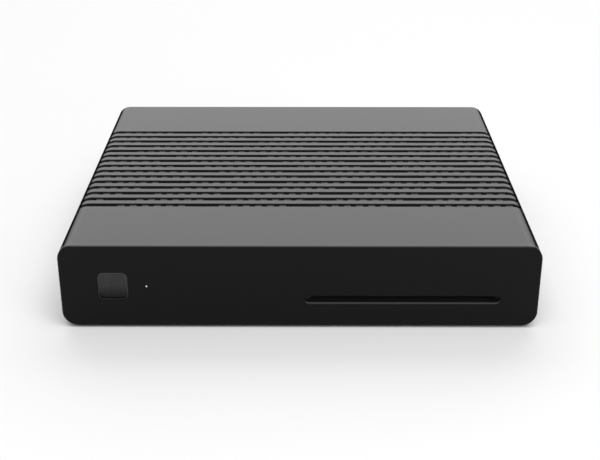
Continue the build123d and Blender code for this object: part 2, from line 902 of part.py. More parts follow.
def usb_sockets():
    """Two stacked bus sockets in one shell, each with its tongue."""
    width, depth, height = usb_size
    back = y_panel_back + port_proud
    z_centre = z_board + height / 2
    shell = port_block(usb_x, usb_size)
    mouth_width, mouth_depth, mouth_height = usb_mouth
    tongue_width, tongue_depth, tongue_height = usb_tongue
    for level in usb_levels:
        z = z_centre + level
        shell -= block(around(usb_x, mouth_width), (back - mouth_depth, back + 1), around(z, mouth_height))
        z_tongue = z + mouth_height / 4
        reach = (back - mouth_depth - 0.5, back - mouth_depth + tongue_depth)
        shell += block(around(usb_x, tongue_width), reach, around(z_tongue, tongue_height))
    return shell


def ethernet_mouth_low():
    """The floor of the network socket's mouth."""
    latch = ethernet_latch[1] + ethernet_key[1]
    return z_board + ethernet_floor + latch


def ethernet_jack():
    """Network socket: a plug cavity with the latch's two steps below it."""
    shell = port_block(ethernet_x, ethernet_size)
    back = y_panel_back + port_proud
    width, depth, height = ethernet_mouth
    z_low = ethernet_mouth_low()
    span = (back - depth, back + 1)
    shell -= block(around(ethernet_x, width), span, (z_low, z_low + height))
    shell -= block(around(ethernet_x, ethernet_latch[0]), span, (z_low - ethernet_latch[1], z_low + 1))
    z_key = z_low - ethernet_latch[1] - ethernet_key[1]
    shell -= block(around(ethernet_x, ethernet_key[0]), span, (z_key, z_low + 1))
    return shell


def optical_hinge():
    """The shutter's hinge line (y, z), near the top of the optical socket's mouth."""
    z_mouth_top = z_board + optical_size[2] / 2 + optical_mouth[2] / 2
    y = y_panel_back + port_proud - shutter_inset - shutter_thickness / 2
    return (y, z_mouth_top - shutter_thickness / 2 - shutter_gap)


def along_x(sketch, x, y, z, length):
    """A sketch seen from the side, placed about x, y and z and carried along X."""
    plane = Plane(origin=(x - length / 2, y, z), x_dir=(0, 1, 0), z_dir=(1, 0, 0))
    return extrude(plane * sketch, amount=length)


def optical_socket():
    """Optical sound socket, with the holes that its shutter's pins turn in."""
    shell = port_block(optical_x, optical_size)
    back = y_panel_back + port_proud
    width, depth, height = optical_mouth
    z = z_board + optical_size[2] / 2
    shell -= block(around(optical_x, width), (back - depth, back + 1), around(z, height))
    y_hinge, z_hinge = optical_hinge()
    span = width + 2 * (hinge_pin_length + fit_gap)
    return shell - along_x(fine_hole(hinge_pin_radius + hinge_gap), optical_x, y_hinge, z_hinge, span)


def optical_shutter():
    """Flap that closes the optical socket and swings in when a plug is pushed home."""
    width, _, height = optical_mouth
    y_hinge, z_hinge = optical_hinge()
    z_low = z_board + optical_size[2] / 2 - height / 2 + shutter_gap
    flap = block(
        around(optical_x, width - 2 * shutter_gap), around(y_hinge, shutter_thickness), (z_low, z_hinge)
    )
    pin = fine_round(hinge_pin_radius)
    return flap + along_x(pin, optical_x, y_hinge, z_hinge, width + 2 * hinge_pin_length)


def av_jack():
    """Sound and picture jack with a round bore."""
    body = block(
        around(av_x, av_size[0]), (y_panel_front - av_size[1], y_panel_front), (z_board, z_board + av_size[2])
    )
    z = z_board + av_size[2] / 2
    back = y_panel_back + port_proud
    body += along_y(fine_round(av_barrel_radius), av_x, z, y_panel_front - 1, back)
    return body - along_y(Circle(av_bore_radius), av_x, z, back - av_bore_depth, back + 1)


def dc_jack():
    """Low-voltage power inlet: a round bore with a centre pin."""
    body = port_block(dc_x, dc_size)
    z = z_board + dc_size[2] / 2
    back = y_panel_back + port_proud
    body -= along_y(fine_hole(dc_bore_radius), dc_x, z, back - dc_bore_depth, back + 1)
    pin = fine_round(dc_pin_radius)
    return body + along_y(pin, dc_x, z, back - dc_bore_depth - 1, back - dc_pin_short)


# ---------------------------------------------------------------- rocker switch
def rocker_pivot():
    """The rocker's hinge line (y, z)."""
    return (y_panel_back - rocker_pivot_inset, z_middle)


def rocker_frame():
    """Switch frame snapped into the panel, with the rocker's pivot holes."""
    y_pivot, z_pivot = rocker_pivot()
    lip = Rectangle(rocker_frame_width, rocker_frame_height)
    frame = along_y(lip, rocker_x, z_middle, y_panel_back, y_panel_back + rocker_frame_lip)
    body = Rectangle(rocker_body_width, rocker_body_height)
    frame += along_y(body, rocker_x, z_middle, y_panel_back - rocker_body_depth, y_panel_back)
    well_width = rocker_width + 2 * rocker_side_gap
    well_height = 2 * (rocker_radius + rocker_gap)
    well = (y_pivot - rocker_radius + rocker_back, y_back + 1)
    frame -= block(around(rocker_x, well_width), well, around(z_middle, well_height))
    hole = rocker_width + 2 * (rocker_pin_length + fit_gap)
    return frame - along_x(fine_hole(rocker_pin_radius + pin_gap), rocker_x, y_pivot, z_pivot, hole)


def power_rocker():
    """Rocker with two flat faces that meet over its pivot, stored in its off position."""
    y_pivot, z_pivot = rocker_pivot()
    rise = rocker_radius * tan(radians(rocker_tilt))
    profile = Polygon(
        (-rocker_back, -rocker_radius), (rocker_face + rise, -rocker_radius), (rocker_face, 0),
        (rocker_face + rise, rocker_radius), (-rocker_back, rocker_radius),
        align=None,
    )
    profile &= Circle(rocker_radius)
    rocker = along_x(profile, 0, 0, 0, rocker_width)
    rocker += along_x(fine_round(rocker_pin_radius), 0, 0, 0, rocker_width + 2 * rocker_pin_length)
    return Pos(rocker_x, y_pivot, z_pivot) * Rot(-rocker_tilt, 0, 0) * rocker


# ---------------------------------------------------------------- rear panel
def rear_panel():
    """Flat steel panel set into the back, with an opening for each connector."""
    inset = wall + fit_gap
    panel = shell_run(inset, y_panel_front, y_panel_back)
    cuts = [
        port_cut(hdmi_x, hdmi_size),
        port_cut(optical_x, optical_size),
        port_cut(usb_x, usb_size),
        port_cut(ethernet_x, ethernet_size),
        port_cut(dc_x, dc_size),
    ]
    small = few_sided_hole(small_screw_radius + screw_clearance)
    rounds = [
        (av_x, z_board + av_size[2] / 2, fine_hole(av_barrel_radius + port_gap)),
        (lnb_x, z_board + lnb_rise, fine_hole(lnb_radius + lnb_root_step + port_gap)),
    ]
    rounds += [(x, serial_height(), small) for x in around(serial_x, serial_screw_spacing)]
    rounds += [(x, z_panel_screw, small) for x in panel_screws]
    for x, z, hole in rounds:
        cuts.append(along_y(hole, x, z, y_panel_front - 1, y_back))
    shell = serial_outline(
        serial_shell_width + 2 * port_gap, serial_shell_height + 2 * port_gap, serial_shell_slant
    )
    cuts.append(along_y(shell, serial_x, serial_height(), y_panel_front - 1, y_back))
    body = Rectangle(rocker_body_width + 2 * fit_gap, rocker_body_height + 2 * fit_gap)
    cuts.append(along_y(body, rocker_x, z_middle, y_panel_front - 1, y_back))
    return panel - cuts


def rear_panel_screws():
    """Screws that hold the rear panel to the tray."""
    return [
        Pos(x, y_panel_back, z_panel_screw) * Rot(90, 0, 0)
        * screw(small_screw_radius, small_screw_length, small_head_radius, small_head_height)
        for x in panel_screws
    ]


def front_board_fixings():
    """Screws that hold the front board to the bezel's bosses."""
    return [
        Pos(x, y_front_board + board_thickness, z) * Rot(90, 0, 0)
        * screw(small_screw_radius, small_screw_length, small_head_radius, small_head_height)
        for x, z in front_board_screws
    ]


def case_screws():
    """Screws from below, through the tray's posts into the cover's bosses."""
    return [
        Pos(x, y, z_head_seat) * screw(screw_radius, case_screw_length, screw_head_radius, screw_head_height)
        for x, y in posts
    ]


def rubber_feet():
    """Feet glued into shallow recesses under the tray."""
    parts = []
    for x, y in feet():
        foot = upright(fine_round(foot_radius), x, y, 0, z_floor + foot_recess)
        parts.append(chamfer(foot.faces().sort_by(Axis.Z)[0].edges(), foot_edge))
    return parts


# ---------------------------------------------------------------- the assembly
pieces = {
    "top_cover": top_cover,
    "base_tray": base_tray,
    "front_bezel": front_bezel,
    "rear_panel": rear_panel,
    "power_button": power_button,
    "tact_plunger": tact_plunger,
    "tact_switch": tact_switch,
    "status_light_pipe": status_light_pipe,
    "status_led": status_led,
    "ir_receiver": ir_receiver,
    "front_board": front_board,
    "front_board_screws": front_board_fixings,
    "board_link": board_link,
    "card_guide": card_guide,
    "card_reader": card_reader,
    "card_contacts": card_contacts,
    "main_board": main_board,
    "board_screws": board_screws,
    "processor_chip": processor_chip,
    "thermal_pad": thermal_pad,
    "heat_sink": heat_sink,
    "memory_chips": memory_chips,
    "flash_chip": flash_chip,
    "inductors": inductors,
    "capacitors": capacitors,
    "crystal": crystal,
    "tuner_can": tuner_can,
    "lnb_connector": lnb_connector,
    "lnb_nut": lnb_nut,
    "serial_port": serial_port,
    "serial_jackscrews": serial_jackscrews,
    "hdmi_socket": hdmi_socket,
    "optical_socket": optical_socket,
    "optical_shutter": optical_shutter,
    "usb_sockets": usb_sockets,
    "ethernet_jack": ethernet_jack,
    "av_jack": av_jack,
    "dc_jack": dc_jack,
    "rocker_frame": rocker_frame,
    "power_rocker": power_rocker,
    "rubber_feet": rubber_feet,
    "case_screws": case_screws,
    "rear_panel_screws": rear_panel_screws,
}

os.makedirs("parts", exist_ok=True)
for name, make in pieces.items():
    made = make()
    shape = Compound(children=made) if isinstance(made, list) else made
    export_step(shape, f"parts/{name}.step")
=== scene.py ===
from math import cos, pi, radians, sin, tan

import bmesh
import bpy
from mathutils import Matrix, Vector


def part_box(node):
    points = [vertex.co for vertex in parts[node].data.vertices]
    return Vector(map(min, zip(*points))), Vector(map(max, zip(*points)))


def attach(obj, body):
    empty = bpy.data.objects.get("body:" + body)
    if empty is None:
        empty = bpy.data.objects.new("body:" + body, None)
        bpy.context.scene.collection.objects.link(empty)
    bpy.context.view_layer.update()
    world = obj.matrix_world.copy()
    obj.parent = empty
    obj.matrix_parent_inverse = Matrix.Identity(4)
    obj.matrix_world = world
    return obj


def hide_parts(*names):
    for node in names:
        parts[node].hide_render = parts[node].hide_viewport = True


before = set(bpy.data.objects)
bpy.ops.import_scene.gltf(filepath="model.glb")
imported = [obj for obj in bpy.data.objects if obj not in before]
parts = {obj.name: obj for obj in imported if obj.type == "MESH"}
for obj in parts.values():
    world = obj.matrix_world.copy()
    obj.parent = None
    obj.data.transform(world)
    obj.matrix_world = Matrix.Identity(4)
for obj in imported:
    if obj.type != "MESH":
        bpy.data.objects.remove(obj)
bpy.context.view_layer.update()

mm = 0.001


# ---------------------------------------------------------------- camera
# A 67 mm lens 41 cm in front of the receiver and 24 cm above its foot, looking 25 degrees down.
def put(name, data):
    """Put data in the scene as an object."""
    thing = bpy.data.objects.new(name, data)
    bpy.context.scene.collection.objects.link(thing)
    return thing


front_low, front_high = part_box("front_bezel")
camera_data = bpy.data.cameras.new("camera")
camera_data.sensor_width = 36.0
camera_data.lens = 67.49
camera_data.clip_start = 0.01
camera = put("camera", camera_data)
aside = 1.25
away = 413.68
above = 239.15
look_down = 25.175
look_left = 0.159
camera.location = (aside * mm, front_low.y - away * mm, front_low.z + above * mm)
camera.rotation_euler = (radians(90 - look_down), 0, radians(look_left))
bpy.context.scene.camera = camera


# ---------------------------------------------------------------- floor and light
# A pale table in an even white room, with a wide soft lamp over the back of the table, one over the
# front, and a small one at the side that picks out the edges of the card slot.
bpy.context.scene.view_settings.view_transform = "Standard"
table_half = 6.0
table_corners = [(x * table_half, y * table_half, 0) for x, y in ((-1, -1), (1, -1), (1, 1), (-1, 1))]
table_mesh = bpy.data.meshes.new("table")
table_mesh.from_pydata(table_corners, [], [(0, 1, 2, 3)])
table = put("table", table_mesh)
table_paint = bpy.data.materials.new("table_paint")
table_paint.use_nodes = True
table_shader = table_paint.node_tree.nodes["Principled BSDF"]
table_shader.inputs["Base Color"].default_value = (0.82, 0.82, 0.82, 1)
table_shader.inputs["Roughness"].default_value = 0.9
table_shader.inputs["Specular IOR Level"].default_value = 0.0
table_mesh.materials.append(table_paint)

room = bpy.data.worlds.new("room")
room.use_nodes = True
room.node_tree.nodes["Background"].inputs["Color"].default_value = (1, 1, 1, 1)
room.node_tree.nodes["Background"].inputs["Strength"].default_value = 0.38
bpy.context.scene.world = room


def soft_lamp(name, place, target, width, height, power):
    """An area lamp that faces a target."""
    data = bpy.data.lights.new(name, "AREA")
    data.shape = "RECTANGLE"
    data.size = width
    data.size_y = height
    data.energy = power
    lamp = put(name, data)
    lamp.location = place
    lamp.rotation_euler = (Vector(target) - Vector(place)).to_track_quat("-Z", "Y").to_euler()


soft_lamp("back_lamp", (0.0, 1.9, 1.32), target=(0, 0, 0), width=3.1, height=2.25, power=36)
soft_lamp("top_lamp", (0.2, -0.9, 1.9), target=(0, 0, 0), width=2.0, height=2.0, power=36)
soft_lamp("side_lamp", (0.6, -0.5, 0.16), target=(0.1, -0.09, 0.03), width=0.12, height=0.12, power=0.7)


# ---------------------------------------------------------------- housing plastics
# The cover, tray and bezel are moulded in black plastic with a fine spark-eroded skin. Along each
# shoulder of the cover a band is left without gloss and painted darker, as painted shade. The bezel
# is darker, partly its own tone and partly painted shade, and smooth along its top and slot. The
# slot is painted paler along its floor, with a painted highlight at its lower lip and painted shade
# on its upper lip.
class Wire:
    """One output of a material's node, so that shader maths reads as ordinary expressions."""

    def __init__(self, finish, socket):
        self.finish = finish
        self.socket = socket

    def maths(self, operation, first, second=None):
        values = {0: first} if second is None else {0: first, 1: second}
        return self.finish.node("ShaderNodeMath", {"operation": operation}, values)

    def __add__(self, other):
        return self.maths("ADD", self, other)

    def __radd__(self, other):
        return self.maths("ADD", other, self)

    def __sub__(self, other):
        return self.maths("SUBTRACT", self, other)

    def __rsub__(self, other):
        return self.maths("SUBTRACT", other, self)

    def __mul__(self, other):
        return self.maths("MULTIPLY", self, other)

    def __rmul__(self, other):
        return self.maths("MULTIPLY", other, self)

    def __lt__(self, other):
        return self.maths("LESS_THAN", self, other)

    def __gt__(self, other):
        return self.maths("GREATER_THAN", self, other)

    def clamp(self):
        return self.finish.node("ShaderNodeClamp", {}, {"Value": self})

    def size(self):
        return self.maths("ABSOLUTE", self)


class Finish:
    """A material in the making: its shader's sockets, and a call that adds any node."""

    def __init__(self, name, **sockets):
        self.material = bpy.data.materials.new(name)
        self.material.use_nodes = True
        self.tree = self.material.node_tree
        self.shader = self.tree.nodes["Principled BSDF"]
        self.set(**sockets)

    def set(self, **sockets):
        """Set or link sockets of the shader, each named in small letters."""
        for words, value in sockets.items():
            name = words.replace("_", " ").title().replace("Ior", "IOR")
            self.feed(self.shader.inputs[name], value)

    def feed(self, socket, value):
        """Link a wire to a socket, or set the socket's own value."""
        if isinstance(value, Wire):
            self.tree.links.new(value.socket, socket)
        elif socket.type == "RGBA":
            socket.default_value = (*value, 1)
        else:
            socket.default_value = value

    def node(self, kind, settings, values, output=0):
        """Add a node: its settings first, then the values or wires of its sockets."""
        made = self.tree.nodes.new(kind)
        for name, value in settings.items():
            setattr(made, name, value)
        for name, value in values.items():
            self.feed(made.inputs[name], value)
        return Wire(self, made.outputs[output])

    def place(self):
        """Where a point lies on the piece, in metres."""
        return self.node("ShaderNodeTexCoord", {}, {}, "Object")

    def axis(self, letter):
        """One coordinate of that place, in millimetres."""
        return self.node("ShaderNodeSeparateXYZ", {}, {"Vector": self.place()}, letter) * (1 / mm)

    def stretched(self, scale, shift=(0, 0, 0)):
        """That place scaled by a factor along each axis, for grain that runs one way."""
        values = {"Vector": self.place(), "Location": shift, "Scale": scale}
        return self.node("ShaderNodeMapping", {}, values)

    def noise(self, scale, detail=2.0, vector=None):
        """Cloudy noise from 0 to 1."""
        values = {"Vector": vector or self.place(), "Scale": scale, "Detail": detail}
        return self.node("ShaderNodeTexNoise", {}, values)

    def blend(self, factor, first, second):
        """A colour between two others."""
        values = {"Factor": factor, 6: first, 7: second}
        return self.node("ShaderNodeMix", {"data_type": "RGBA"}, values, 2)

    def tint(self, mask, colour):
        """Lay another colour over the base colour where a mask is 1."""
        under = Wire(self, self.shader.inputs["Base Color"].links[0].from_socket)
        self.set(base_color=self.blend(mask, under, colour))

    def bump(self, height, depth, strength):
        """Let a height in 0 to 1 stand proud of the surface by a depth in millimetres."""
        values = {"Height": height, "Distance": depth * mm, "Strength": strength}
        self.set(normal=self.node("ShaderNodeBump", {}, values))


def use(finish, *names):
    """Give CAD nodes a finish."""
    for name in names:
        mesh = parts[name].data
        mesh.materials.clear()
        mesh.materials.append(finish.material)


def moulded(name, colour, roughness, grain=9000.0, depth=0.02, clouds=0.1, **sockets):
    """Moulded plastic: a fine even skin, with faint clouds in its tone and sheen."""
    finish = Finish(name, **sockets)
    cloud = finish.noise(38.0, 3.0)
    skin = finish.noise(grain)
    darker = [value * (1 - clouds) for value in colour]
    lighter = [value * (1 + clouds) for value in colour]
    finish.set(
        base_color=finish.blend(cloud, darker, lighter),
        roughness=roughness + (cloud - 0.5) * 0.06 + (skin - 0.5) * 0.08,
    )
    finish.bump(skin, depth, 0.5)
    return finish


cover_plastic = moulded("cover_plastic", (0.016, 0.016, 0.0164), 0.40, clouds=0.0)
shade_start = 96.7             # the painted shade band along each shoulder, from the middle of the cover
shade_end = 99.75
shade_fade = 0.6
across = cover_plastic.axis("X").size() * (1 / shade_fade)
shoulder_shade = (across - shade_start / shade_fade).clamp() * (shade_end / shade_fade - across).clamp()
sheen = cover_plastic.noise(9000.0) * 0.12 + 0.94
cover_plastic.set(
    specular_ior_level=0.0, coat_weight=(1.0 - shoulder_shade) * sheen, coat_ior=1.45, coat_roughness=0.38,
)
# Painted shade: along each shoulder the base colour is painted darker and the gloss is taken away.
cover_plastic.tint(shoulder_shade, (0.008, 0.008, 0.0082))
use(cover_plastic, "top_cover")
tray_plastic = moulded("tray_plastic", (0.009, 0.009, 0.0093), 0.55, specular_ior_level=0.11)
use(tray_plastic, "base_tray")

# The bezel's base colour is darker than the cover's: partly its own tone, partly painted shade on its
# front.
bezel_plastic = moulded("bezel_plastic", (0.0062, 0.0062, 0.0064), 0.38, clouds=0.0)
guide_low, guide_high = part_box("card_guide")
slot_x = (guide_low.x + guide_high.x) / 2 / mm
slot_z = (guide_low.z + guide_high.z) / 2 / mm
slot_reach = 42.0             # half the width and height of the front round the card slot
slot_half = 2.6
face_depth = 0.03             # what lies deeper is an edge or a wall and not the front face
lip_depth = 0.24              # the glossy part of the slot's chamfer, and the painted highlight along its inner edge
highlight_depth = 0.38
lip_end = 0.45
highlight_end = 0.85
top_edge = 0.8                # the smooth strip along the bezel's top
into = bezel_plastic.axis("Y") - front_low.y / mm
height = bezel_plastic.axis("Z")
near_slot = (bezel_plastic.axis("X") - slot_x).size() < slot_reach
near_slot = near_slot * ((height - slot_z).size() < slot_half)
below = height < slot_z
lower_lip = near_slot * below * (into > lip_depth) * (into < lip_end)
on_top = (into > face_depth) * (height > front_high.z / mm - top_edge)
slot_floor = near_slot * below * (into > highlight_depth)
slot_roof_shade = near_slot * (1.0 - below) * (into > face_depth)
bezel_plastic.set(
    specular_ior_level=0.09, coat_weight=lower_lip * 0.25 + on_top * 0.66, coat_ior=1.45,
    coat_roughness=0.34,
)
# Painted light: the slot's floor is painted paler than the face, and a band along its front edge paler
# still, as a painted highlight.
bezel_plastic.tint(slot_floor, (0.018, 0.018, 0.0182))
bezel_plastic.tint(slot_floor * (into < highlight_end), (0.11, 0.11, 0.11))
# Painted shade: the slot's upper lip and roof are painted near black.
bezel_plastic.tint(slot_roof_shade, (0.001, 0.001, 0.001))
use(bezel_plastic, "front_bezel")


# ---------------------------------------------------------------- vent bars
# Short bars cross each groove of the vent band from rib to rib, six to a group, and the groups
# sweep to the right and back to the left. They are moulded with the cover, a little below the ribs.
class Tree:
    """A Geometry Nodes tree in the making, with named inputs."""

    def __init__(self, name, inputs):
        self.group = bpy.data.node_groups.new(name, "GeometryNodeTree")
        sockets = self.group.interface
        sockets.new_socket("Geometry", in_out="INPUT", socket_type="NodeSocketGeometry")
        for words, kind in inputs.items():
            sockets.new_socket(words, in_out="INPUT", socket_type="NodeSocket" + kind)
        sockets.new_socket("Geometry", in_out="OUTPUT", socket_type="NodeSocketGeometry")
        self.inputs = self.group.nodes.new("NodeGroupInput").outputs

    def node(self, kind, settings, values, output=0):
        """Add a node: its settings first, then the values or links of its sockets."""
        made = self.group.nodes.new(kind)
        for name, value in settings.items():
            setattr(made, name, value)
        for name, value in values.items():
            if isinstance(value, bpy.types.NodeSocket):
                self.group.links.new(value, made.inputs[name])
            else:
                made.inputs[name].default_value = value
        return made.outputs[output]

    def close(self, instances):
        """Make the instances real, give them the finish, and send them out."""
        real = self.node("GeometryNodeRealizeInstances", {}, {"Geometry": instances})
        values = {"Geometry": real, "Material": self.inputs["Finish"]}
        painted = self.node("GeometryNodeSetMaterial", {}, values)
        self.group.links.new(painted, self.group.nodes.new("NodeGroupOutput").inputs["Geometry"])

    def run(self, name, points, values):
        """Run the tree on loose points in millimetres, and return the plain mesh that it makes."""
        seeds = bpy.data.meshes.new(name + "_seeds")
        seeds.from_pydata([Vector(point) * mm for point in points], [], [])
        carrier = put(name + "_seeds", seeds)
        modifier = carrier.modifiers.new("run", "NODES")
        modifier.node_group = self.group
        for socket in self.group.interface.items_tree:
            if socket.name in values:
                modifier[socket.identifier] = values[socket.name]
        ready = carrier.evaluated_get(bpy.context.evaluated_depsgraph_get())
        mesh = bpy.data.meshes.new_from_object(ready)
        carrier.modifiers.remove(modifier)
        bpy.data.objects.remove(carrier)
        return mesh


class Box:
    """The box round a piece, in millimetres: its corners, and where its middle lies."""

    def __init__(self, low, high):
        self.low = low
        self.high = high
        self.middle = (low + high) / 2
        self.x, self.y, self.z = ((near + far) / 2 for near, far in zip(low, high))


def box_of(node):
    """The box round a CAD node."""
    low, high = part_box(node)
    return Box(Vector(low) / mm, Vector(high) / mm)


def show(name, mesh, slot, *replaced, body="housing"):
    """Put a mesh in the scene as a piece that rides on a body, in place of some CAD nodes."""
    piece = put(name, mesh)
    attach(piece, body)
    if replaced:
        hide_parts(*replaced)


cover = box_of("top_cover")
bezel = box_of("front_bezel")
groove_count = 15
groove_pitch = 6.6
groove_width = 3.3
first_groove = 39.8
groove_depth = 2.0
bar_pitch = 5.38
bar_width = 3.35
bar_drop = 0.6
bar_rounding = 0.35
bar_seat = 0.05               # how far a bar reaches into the ribs and the groove's floor
bars_per_group = 6
group_pitch = 44.8
group_shift = 7.45
rows_per_sweep = 5
rising_start = 10.2
falling_start = 15.2
bar_margin = 4.0
run_on_right = (0, 1, 5, 10, 11)   # grooves whose last group runs on to the side
run_on_left = (5, 6)
shoulder_radius = 6.4

bars = Tree("vent_bars", {
    "Length": "Float", "Width": "Float", "Height": "Float", "Rounding": "Float", "Finish": "Material",
})
bar_section = bars.node("GeometryNodeCurvePrimitiveQuadrilateral", {}, {
    "Width": bars.inputs["Width"], "Height": bars.inputs["Height"],
})
bar_section = bars.node("GeometryNodeFilletCurve", {"mode": "POLY"}, {
    "Curve": bar_section, "Radius": bars.inputs["Rounding"], "Count": 3,
})
bar_end = bars.node("ShaderNodeCombineXYZ", {}, {"Z": bars.inputs["Length"]})
bar_line = bars.node("GeometryNodeCurvePrimitiveLine", {}, {"End": bar_end})
bar = bars.node("GeometryNodeCurveToMesh", {}, {
    "Curve": bar_line, "Profile Curve": bar_section, "Fill Caps": True,
})
bars.close(bars.node("GeometryNodeInstanceOnPoints", {}, {
    "Points": bars.inputs["Geometry"], "Instance": bar, "Rotation": (-pi / 2, 0, 0),
}))


def bar_middles(row):
    """Where the bars of one groove stand."""
    sweep, step = divmod(row, rows_per_sweep)
    start = falling_start - group_shift * step if sweep % 2 else rising_start + group_shift * step
    reach = cover.high.x - bar_margin
    groups = int(cover.high.x / group_pitch) + 2
    firsts = [start + group * group_pitch for group in range(-groups, groups)]
    group_length = (bars_per_group - 1) * bar_pitch
    whole = [first for first in firsts if -reach <= first <= reach - group_length]
    middles = [first + number * bar_pitch for first in firsts for number in range(bars_per_group)]
    spare = [number * bar_pitch for number in range(1, bars_per_group)]
    if row in run_on_right:
        last = whole[-1] + group_length
        middles = [middle for middle in middles if middle <= last] + [last + more for more in spare]
    if row in run_on_left:
        middles = [middle for middle in middles if middle >= whole[0]]
        middles += [whole[0] - more for more in spare]
    return [middle for middle in middles if abs(middle) <= reach]


def shoulder_drop(x):
    """How far the cover's surface has turned down under the outer edge of a bar."""
    out = max(abs(x) + bar_width / 2 - (cover.high.x - shoulder_radius), 0)
    return shoulder_radius - (shoulder_radius ** 2 - out ** 2) ** 0.5


bar_height = groove_depth - bar_drop + bar_seat
z_bar = cover.high.z - bar_drop - bar_height / 2
bar_points = [
    (x, bezel.low.y + first_groove + row * groove_pitch - bar_seat, z_bar - shoulder_drop(x))
    for row in range(groove_count) for x in bar_middles(row)
]
show("vent_bars", bars.run("vent_bars", bar_points, {
    "Length": (groove_width + 2 * bar_seat) * mm, "Width": bar_width * mm, "Height": bar_height * mm,
    "Rounding": bar_rounding * mm, "Finish": cover_plastic.material,
}), "cover_plastic")


# ---------------------------------------------------------------- power key
# A moulded key faced in dark brushed metal, which lies deeper towards its lower end, where painted
# shade darkens it; its rim carries a painted highlight. A flange holds it behind the bezel, and its
# stem works the push switch.
class Form:
    """A mesh in the making, in millimetres."""

    def __init__(self):
        self.work = bmesh.new()

    def skin(self, rings, ends=True):
        """Join rings of equally many points, and close the first and the last."""
        made = [[self.work.verts.new(point) for point in ring] for ring in rings]
        for near, far in zip(made, made[1:]):
            for corner in range(len(near)):
                after = (corner + 1) % len(near)
                self.work.faces.new((near[corner], near[after], far[after], far[corner]))
        if ends:
            self.work.faces.new(made[0])
            self.work.faces.new(made[-1])
        return self

    def tube(self, rings):
        """Join rings, and the last one to the first."""
        return self.skin(rings + rings[:1], False)

    def done(self, name, finish, sharp=35):
        """Merge what meets, point the faces outwards, and return the mesh in metres."""
        bmesh.ops.remove_doubles(self.work, verts=self.work.verts, dist=0.0005)
        bmesh.ops.recalc_face_normals(self.work, faces=self.work.faces)
        mesh = bpy.data.meshes.new(name)
        self.work.to_mesh(mesh)
        self.work.free()
        mesh.transform(Matrix.Scale(mm, 4))
        mesh.materials.append(finish.material)
        return smoothed(mesh, sharp)


def smoothed(mesh, sharp=35):
    """Shade a mesh smooth, apart from the edges sharper than an angle."""
    mesh.shade_smooth()
    mesh.set_sharp_from_angle(angle=radians(sharp))
    return mesh


def fit(name, form, finish, slot, *replaced, body="housing", sharp=35):
    """Finish a form and show it as a piece."""
    show(name, form.done(name, finish, sharp), slot, *replaced, body=body)


def rounded(width, height, radius, steps=5):
    """The points of a rectangle with round corners, about its centre."""
    points = []
    for turn, (side_u, side_v) in enumerate(((1, 1), (-1, 1), (-1, -1), (1, -1))):
        for step in range(steps + 1):
            angle = (turn + step / steps) * pi / 2
            u = side_u * (width / 2 - radius) + radius * cos(angle)
            v = side_v * (height / 2 - radius) + radius * sin(angle)
            points.append((u, v))
    return points


def circle(radius, steps=32):
    """The points of a circle about its centre."""
    return [(radius * cos(2 * pi * n / steps), radius * sin(2 * pi * n / steps)) for n in range(steps)]


def upright(outline, x, y, z):
    """An outline seen from the front, at a place."""
    return [(x + u, y, z + v) for u, v in outline]


def quarter(radius, steps=4):
    """The steps of an edge's rounding: how far in, and how far down."""
    angles = [pi / 2 * step / steps for step in range(steps + 1)]
    return [(radius * (1 - sin(angle)), radius * (1 - cos(angle))) for angle in angles]


key = box_of("power_button")
flange_reach = 1.0
flange_thickness = 1.2
flange_corner = 0.3
cad_key_size = key.high.x - key.low.x - 2 * flange_reach
flange_size = cad_key_size + 2 * flange_reach
key_size = cad_key_size + 0.2
key_radius = 2.45
key_rim = 0.35
key_edge = 0.15
face_size = key_size - 2 * key_rim
face_radius = key_radius - key_rim
face_top = 0.12               # how deep the key's face lies at its upper and lower ends
face_bottom = 0.62
face_curve = 1.6
stem_radius = 1.75
bezel_back = bezel.low.y + 3.0
key_seat = bezel_back + 0.1


def key_ring(size, radius, y):
    """A square ring of the key at one depth."""
    return upright(rounded(size, size, radius), key.x, y, key.z)


def face_ring(share):
    """A ring of the key's face, which lies deeper towards its lower end."""
    ring = []
    for u, v in rounded(share * face_size, share * face_size, share * face_radius):
        fall = (0.5 - v / face_size) ** face_curve
        ring.append((key.x + u, key.low.y + face_top + (face_bottom - face_top) * fall, key.z + v))
    return ring


key_form = Form().skin([
    *(face_ring(share) for share in (0.02, 0.2, 0.4, 0.6, 0.75, 0.87, 0.95, 1.0)),
    key_ring(face_size + 0.02, face_radius, key.low.y + 0.1),
    key_ring(face_size + 0.06, face_radius + 0.02, key.low.y + 0.04),
    key_ring(face_size + 0.2, face_radius + 0.1, key.low.y),
    *(key_ring(key_size - 2 * inward, key_radius - inward, key.low.y + down)
      for inward, down in quarter(key_edge)),
    key_ring(key_size, key_radius, key_seat),
    key_ring(flange_size, flange_corner, key_seat),
    key_ring(flange_size, flange_corner, key_seat + flange_thickness),
])
key_form.skin([upright(circle(stem_radius, 24), key.x, y, key.z) for y in (key_seat + 1, key.high.y)])

key_metal = Finish("key_metal", metallic=1.0)
streaks = key_metal.noise(1700.0, 2.0, key_metal.stretched((1.0, 1.0, 0.03)))
shade_height = 4.5             # how far below its middle the painted shade darkens the key's face
clear_of_shade = ((key_metal.axis("Z") - (key.z - shade_height)) * (1 / shade_height)).clamp()
rim_highlight_depth = 0.09
key_metal.set(
    base_color=key_metal.blend(streaks, (0.026, 0.026, 0.0264), (0.071, 0.0715, 0.0725)),
    roughness=0.30 + streaks * 0.16,
)
# Painted shade: the lower end of the key's face is painted darker.
key_metal.tint(1.0 - clear_of_shade, (0.022, 0.022, 0.0222))
# Painted highlight: the rim round the face is painted lighter.
key_metal.tint(key_metal.axis("Y") < key.low.y + rim_highlight_depth, (0.075, 0.075, 0.0765))
key_metal.bump(streaks, 0.02, 0.5)
fit("power_key", key_form, key_metal, "key_metal", "power_button", body="button")


